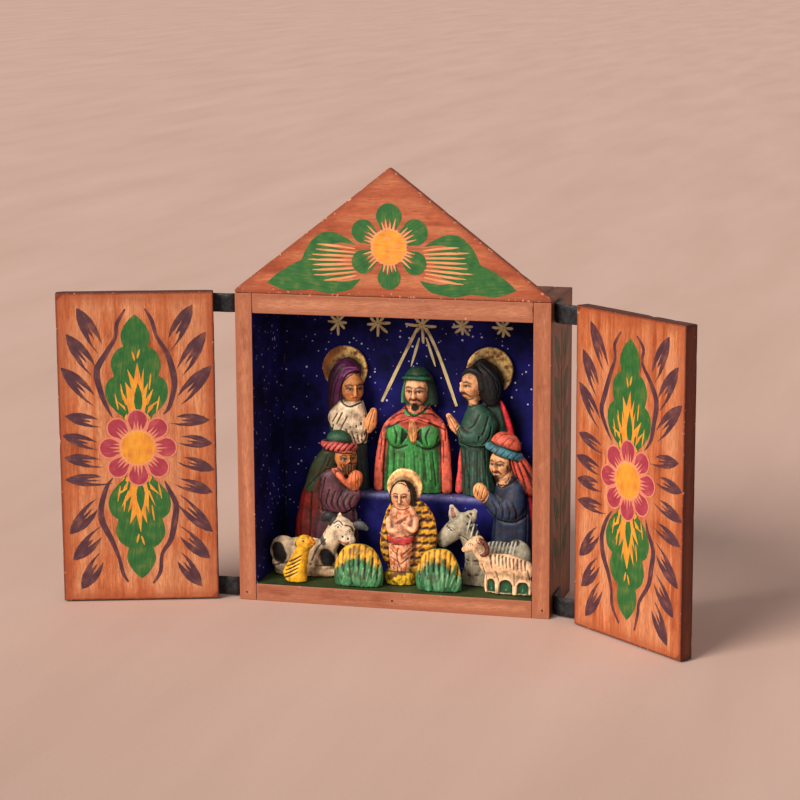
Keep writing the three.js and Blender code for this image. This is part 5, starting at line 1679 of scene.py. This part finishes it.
def cow():
    clay = Clay()
    body = clay.egg("#D9C2A2", (-0.4, 0, 8), (14.2, 2.9, 8))
    clay.tower("#CDB08E", [[0, 0, 0, 13.2, 2.7], [0, 0, 3, 13.8, 2.9], [0, 0, 6, 12.6, 2.7]])
    rump = clay.egg("#D9C2A2", (-9.2, -0.2, 9.6), (6.2, 2.9, 6.6))
    leg = clay.limb("#D9C2A2", [(-12, -1.4, 5), (-8, -2, 2.4), (-3, -2, 2.2)], [2.4, 2.0, 1.6], 0.6)
    chest = clay.limb("#D9C2A2", [(8, -0.4, 6), (8.6, -0.4, 11), (12.6, -0.6, 18.6)], [4.6, 4.4, 4.2], 0.66)
    hoof = clay.limb("#C9A986", [(6, -1.8, 2.4), (12, -2, 2.2), (15, -1.8, 2.2)], [2.2, 1.8, 1.6], 0.6)
    head = clay.egg("#E2CDB0", (15.2, -0.9, 20.4), (5.9, 3.0, 5.0), 34)
    muzzle = clay.egg("#E6D0B4", (17.6, -1.5, 16.4), (4.0, 2.5, 3.1), 22)
    clay.limb("#24282B", [(12.4, -0.6, 24), (9.8, -0.8, 25.2), (7.4, -0.6, 23.8)], [2.1, 2.3, 1.3], 0.7)
    clay.limb("#4A4D4E", [(20, 0, 21.8), (23, -0.2, 22), (25.6, -0.2, 20.8)], [1.4, 2.1, 1.3], 0.7)
    clay.limb("#D9C2A2", [(14.6, 0, 24), (14.4, 0, 26.2)], [1.4, 0.8], 0.7)
    clay.fine.append(((16, -1, 19.4), 7))
    for spot, size in (((-10.8, 9.6), (5.6, 6.8)), ((9.4, 8.6), (5.2, 5.4)), ((-2.4, 12.6), (3.0, 3.0))):
        clay.mark([(spot[0] - 0.4, spot[1] + size[1] * 0.2), (spot[0] + 0.4, spot[1] - size[1] * 0.2)],
                  [size[0], size[0] * 1.1], "#14171A", 0, on=[body, rump, chest, leg])
    clay.mark([(6.2, 17.4), (8.2, 14.4)], [2.6, 2.2], "#4A5456", 0, on=[body, chest])
    clay.mark([(10.8, 22.4), (12.4, 25.2)], [1.8, 2.4], "#2C2E30", 0, on=[head])
    draw_eye(clay, (14.6, 21.6), 1.1, [head, muzzle])
    draw_eye(clay, (19.2, 19.8), 0.8, [head, muzzle])
    clay.cuts([[(12.6, 22.8), (14.6, 24), (16.6, 22.4)], [(17.4, 22.4), (19.6, 21.6), (20.6, 19.4)]], 0.5,
              "#5A2C18", -0.25, on=[head])
    clay.mark([(16.4, 17.6)], 0.9, "#2A1410", -0.35, on=[muzzle, head])
    clay.mark([(18.8, 16.9)], 0.9, "#2A1410", -0.35, on=[muzzle, head])
    clay.mark([(14.4, 15.6), (16.8, 14.9), (18.8, 15.2)], 1.0, "#C8705C", -0.15, on=[muzzle])
    clay.mark([(13.8, 14.8), (16.8, 14), (19, 14.6)], 0.35, "#4A2216", -0.3, on=[muzzle])
    clay.cuts([[(-13.6, 3.6), (-8.4, 5.2), (-3.4, 4.4)], [(4.6, 4.8), (10, 5), (15, 4.2)],
               [(2.4, 5), (5.4, 12), (9, 16)]], 0.5, "#5E3A24", -0.35,
              on=[body, rump, leg, chest, hoof])
    clay.mark([(13, 3.2), (15.6, 2)], [0.5, 1.6], "#3A2A22", 0, on=[hoof])
    return clay


def donkey():
    clay = Clay()
    body = clay.egg("#A29A84", (3, 0, 9.6), (13.4, 2.9, 9.2))
    clay.tower("#9A927C", [[1, 0, 0, 13.4, 2.7], [1, 0, 4, 13.8, 2.9], [1, 0, 7, 12.4, 2.7]])
    rump = clay.egg("#A8A08A", (10.4, 0, 12.8), (5.8, 2.8, 7))
    neck = clay.limb("#A29A84", [(-7, 0, 7), (-7.4, 0, 15), (-10.6, 0.1, 23.4)], [4.4, 4.2, 4.2], 0.68)
    head = clay.limb("#ABA38D", [(-11.4, 0.2, 25.6), (-15.4, 0.1, 22.4), (-20, 0.1, 18)],
                     [4.3, 4.3, 3.4], 0.68)
    left_ear = clay.limb("#ABA38D", [(-15, 0.3, 26.4), (-16, 0.4, 29.6), (-16.6, 0.5, 31.4)],
                         [3.0, 2.4, 1.3], 0.5)
    right_ear = clay.limb("#ABA38D", [(-10.4, 0.2, 26.2), (-8.4, 0.2, 28.8), (-7.2, 0.3, 30.2)],
                          [3.2, 2.8, 1.4], 0.5)
    clay.fine.append(((-15, 0, 23), 9))
    draw_eye(clay, (-16.4, 23.0), 1.0, [head])
    clay.mark([(-18.2, 24.2), (-15.6, 22.6)], 0.45, "#1A1612", -0.2, on=[head])
    clay.mark([(-21.2, 17.6)], 0.7, "#3A2E28", -0.25, on=[head])
    clay.mark([(-22.2, 16.6), (-20, 15.8)], 0.4, "#6A4A40", -0.25, on=[head])
    clay.mark([(-15.6, 27.8), (-16.3, 30.6)], [1.8, 1.4], "#A8665A", -0.5, on=[left_ear], soft=0.6)
    clay.mark([(-10.2, 27.2), (-8.6, 29.2)], [1.7, 1.3], "#8E5248", -0.5, on=[right_ear], soft=0.6)
    clay.mark([(-11, 28.4), (-7.6, 24), (-5, 19.6), (-1, 18.2), (5, 18.2), (10, 18.6)], 2.6, "#2A2A28", 0,
              on=[neck, body, rump])
    for i in range(13):
        share = i / 12
        x = -9.2 + 18.6 * share
        z = 25.4 - 8.4 * min(1, share * 2.4) + 0.6 * share
        clay.mark([(x + 0.5, z + 1.4), (x - 0.5, z - 3.4)], [0.55, 0.5], "#CFCBB8", 0.25,
                  on=[neck, body, rump, head])
    clay.mark([(-13, 20.6), (-9.4, 19), (-8.6, 15.4)], 0.5, "#4A443A", -0.35, on=[neck, head])
    clay.cuts([[(-11.4, 4), (-4, 4.8), (3, 3.8)], [(-1.6, 12), (0.4, 7), (4, 4.6)]], 0.5, "#4A443A", -0.3,
              on=[body, neck])
    return clay


# %% [markdown]
# The goat's legs and belly are one slab; the arches between its legs are shallow hollows painted
# green, instead of holes cut through the clay.


# %% Goat, bird and grass
def goat():
    clay = Clay()
    coat = "#E2BC94"
    legs = clay.tower(coat, [[1.7, 0.1, 0.1, 9.6, 2.1], [1.7, 0.1, 4, 9.8, 2.1], [1.7, 0.1, 9, 9.2, 2.2],
                             [1.7, 0.1, 11, 8, 2.0]])
    body = clay.limb(coat, [(-6.2, 0, 12.2), (1.4, 0, 11.8), (8.6, 0, 10.2)], [4.1, 4.7, 3.9], 0.62)
    tail = clay.limb(coat, [(10.2, 0, 11.4), (11.2, 0, 8.4)], [1.1, 0.8])
    neck = clay.limb(coat, [(-6, 0, 13), (-8.6, -0.1, 15.8), (-11, -0.2, 18.6)], [3.3, 2.9, 2.8], 0.75)
    head = clay.limb(coat, [(-10.4, -0.2, 20.4), (-13, -0.3, 19.2), (-15.8, -0.3, 17.4)],
                     [2.9, 2.7, 1.5], 0.8)
    horn = clay.limb("#6A3A22", [(-9.6, -1.6, 21.6), (-7.2, -1.8, 20.6), (-6.2, -1.9, 17.8), (-7.8, -2, 15.8),
                                 (-9.2, -2, 16.6)], [1.1, 1.1, 1.0, 0.8, 0.5])
    clay.fine.append(((-11.5, -0.6, 18.6), 6.5))
    for i in range(9):
        x = -3.2 + 1.5 * i
        top = 16.2 - 0.26 * i
        clay.mark([(x - 0.1, top), (x + 0.3, top - 3.4 - 0.6 * (i % 2))], [0.75, 0.45], "#4C2622", -0.15,
                  on=[body])
    clay.mark([(-5, 15.6), (-4.4, 11)], [0.9, 0.4], "#4C2622", -0.15, on=[body, neck])
    draw_eye(clay, (-13.0, 19.8), 0.7, [head])
    clay.mark([(-16.4, 17.2)], 0.4, "#5A2A20", -0.15, on=[head])
    clay.mark([(-17, 16.4), (-15.2, 15.9)], 0.3, "#7A4030", -0.15, on=[head])
    for i in range(5):
        turn = math.radians(70 - 62 * i)
        spot = (-8.2 + 2.5 * math.cos(turn), 18.6 + 2.6 * math.sin(turn))
        clay.mark([spot, (spot[0] - 0.9 * math.cos(turn), spot[1] - 0.9 * math.sin(turn))], 0.35, "#2A120A",
                  -0.2, on=[horn])
    for x, wide, high in ((-5.1, 3.4, 4.6), (1.0, 5.6, 3.4), (7.8, 4.8, 3.2)):
        clay.mark([(x, -0.4), (x, high)], wide, "#1F5C3A", -0.7, on=[legs, body])
        clay.mark([(x - 0.5 * wide, 0.6), (x - 0.48 * wide, high)], 0.35, "#7A4A2C", -0.2, on=[legs, body])
        for i in range(3):
            clay.mark([(x + 0.3 * wide * (i - 1), 0.8 + 1.3 * (i % 2))], 0.4, "#C9D2C0", 0, on=[legs],
                      soft=0.2)
    clay.cuts([[(-8.4, 12), (-7, 6), (-6.8, 1.4)], [(-3, 9.6), (-1.6, 5.4)], [(4.4, 9), (4.4, 4)]],
              0.4, "#9A6440", -0.3, on=[body, legs])
    clay.mark([(10, 10.6), (10.6, 6.6)], [0.5, 0.4], "#9A6440", -0.25, on=[legs, body, tail])
    return clay


def bird():
    clay = Clay()
    body = clay.tower("#E2AA22", [
        [-1.4, 0, 0, 4.4, 2.8], [-1.8, 0, 2, 5, 3.1], [-1.8, 0, 4.6, 4.9, 3.1], [-0.4, 0, 9, 4, 2.9],
        [1.6, 0, 14.4, 3, 2.6]])
    head = clay.egg("#E6B02C", (2.3, -0.1, 16.2), (3.9, 2.8, 3.5))
    beak = clay.limb("#DE8424", [(4.6, -0.3, 17.4), (6.0, -0.3, 16.4)], [1.7, 1.2], 0.9)
    tail = clay.limb("#DDA01E", [(-2.8, 0, 4.8), (-5.4, 0, 2.6)], [2.6, 1.3])
    clay.fine.append(((2.6, 0, 16), 5))
    for i in range(5):
        z = 9.6 - 1.7 * i
        clay.mark([(1.6 - 0.4 * i, z + 1.8), (-1.4 - 0.5 * i, z), (-5 - 0.4 * i, z - 1.6)],
                  [0.35, 0.9, 0.3], "#4A300A", -0.45, on=[body, tail])
    clay.mark([(2.4, 17.4)], 0.9, "#3A2408", -0.1, on=[head], soft=0.15)
    clay.mark([(1.6, 18.4), (3, 18.2)], 0.3, "#5A3A0C", 0, on=[head], soft=0.15)
    clay.mark([(5.0, 16.4), (7, 15.9)], 0.3, "#7A3A0C", -0.15, on=[beak])
    return clay


def grass_tuft(half_width, seed):
    """A domed clump cut into blades, green below and yellow where the light catches the tips."""
    clay = Clay()
    clump = clay.tower("#3F7C4E", [
        [0, 0, 0, 0.96 * half_width, 3.4], [0, 0, 3, half_width, 3.7], [0, 0, 8, 0.94 * half_width, 3.6],
        [0, 0, 12.6, 0.78 * half_width, 3.1], [0, 0, 15.8, 0.54 * half_width, 2.2],
        [0, 0, 17.1, 0.22 * half_width, 0.9]], folds=26, depth=0.06)
    draw = random.Random(seed)
    clay.mark([(-half_width, 10), (-half_width * 0.5, 14.6), (0, 15.6), (half_width * 0.5, 14.6),
               (half_width, 10)], 8.4, "#E6B02E", 0, on=[clump], soft=1.0)
    blades = 9
    for i in range(blades):
        share = -1 + 2 * (i + 0.5) / blades
        fall = 5.6 * share * share
        foot, tip = share * half_width * 0.8, share * half_width * 1.02 + draw.uniform(-0.4, 0.9)
        top = 13.9 - fall + draw.uniform(-1.8, 1.0)
        shade = draw.choice(["#57996A", "#3F7C4E", "#4B8C5A", "#2F6B42"])
        clay.mark([(foot, 1.2), ((foot + tip) / 2, 0.5 * top), (tip, top)], [2.4, 2.2, 0.2], shade, 0.3,
                  on=[clump], soft=0.5)
        dip = tip + half_width / blades
        clay.mark([(0.92 * dip, 3 + draw.uniform(0, 3)), (dip, top - 1)], [0.3, 0.8], "#173E28", -0.6,
                  on=[clump])
        # painted shade: darker orange strokes down between the yellow tips
        clay.mark([(dip, 16.6 - fall), (0.96 * dip, 11.4 - fall)], [0.9, 0.2], "#C8741C", -0.35,
                  on=[clump], soft=0.5)
        clay.mark([(0.9 * foot + 0.4, 2.4), (0.5 * (foot + tip) + 0.5, 8 - 0.5 * fall)], [0.2, 0.5],
                  "#8FBF8C", 0.1, on=[clump])
    return clay


# %% [markdown]
# Each figure stands where its solid does: a number of its own says how far across, its row how far
# back, and the frame how high the floor and the top of the ledge are.

# %% Place the figures
ON_FLOOR = node_box("infant_in_cradle")[0].z
ON_LEDGE = node_box("robed_man")[0].z
ROW = {"standing": 13.1, "kneeling": 2.7, "lying": -5.1, "cradle": -10.0, "front": -15.6}
PEOPLE, ANIMALS, GRASS = "painted_clay_people", "painted_clay_animals", "painted_clay_grass"
figures = [
    ("haloed_woman", haloed_woman(), -27, "standing", ON_LEDGE, PEOPLE),
    ("robed_man", robed_man(), 0, "standing", ON_LEDGE, PEOPLE),
    ("haloed_man", haloed_man(), 28, "standing", ON_LEDGE, PEOPLE),
    ("kneeling_man_left", kneeling_man_left(), -32, "kneeling", ON_FLOOR, PEOPLE),
    ("kneeling_man_right", kneeling_man_right(), 42, "kneeling", ON_FLOOR, PEOPLE),
    ("infant_in_cradle", infant_in_cradle(), 1, "cradle", ON_FLOOR, PEOPLE),
    ("cow", cow(), -40.4, "lying", ON_FLOOR, ANIMALS), ("donkey", donkey(), 37, "lying", ON_FLOOR, ANIMALS),
    ("bird", bird(), -40, "front", ON_FLOOR, ANIMALS),
    ("grass_tuft_left", grass_tuft(10.6, 4), -15.3, "front", ON_FLOOR, GRASS),
    ("grass_tuft_right", grass_tuft(9.8, 9), 17.6, "front", ON_FLOOR, GRASS),
    ("goat", goat(), 44, "front", ON_FLOOR, ANIMALS),
]
for node, clay, across, row, base, slot in figures:
    fire(clay, node, (across, ROW[row], base))
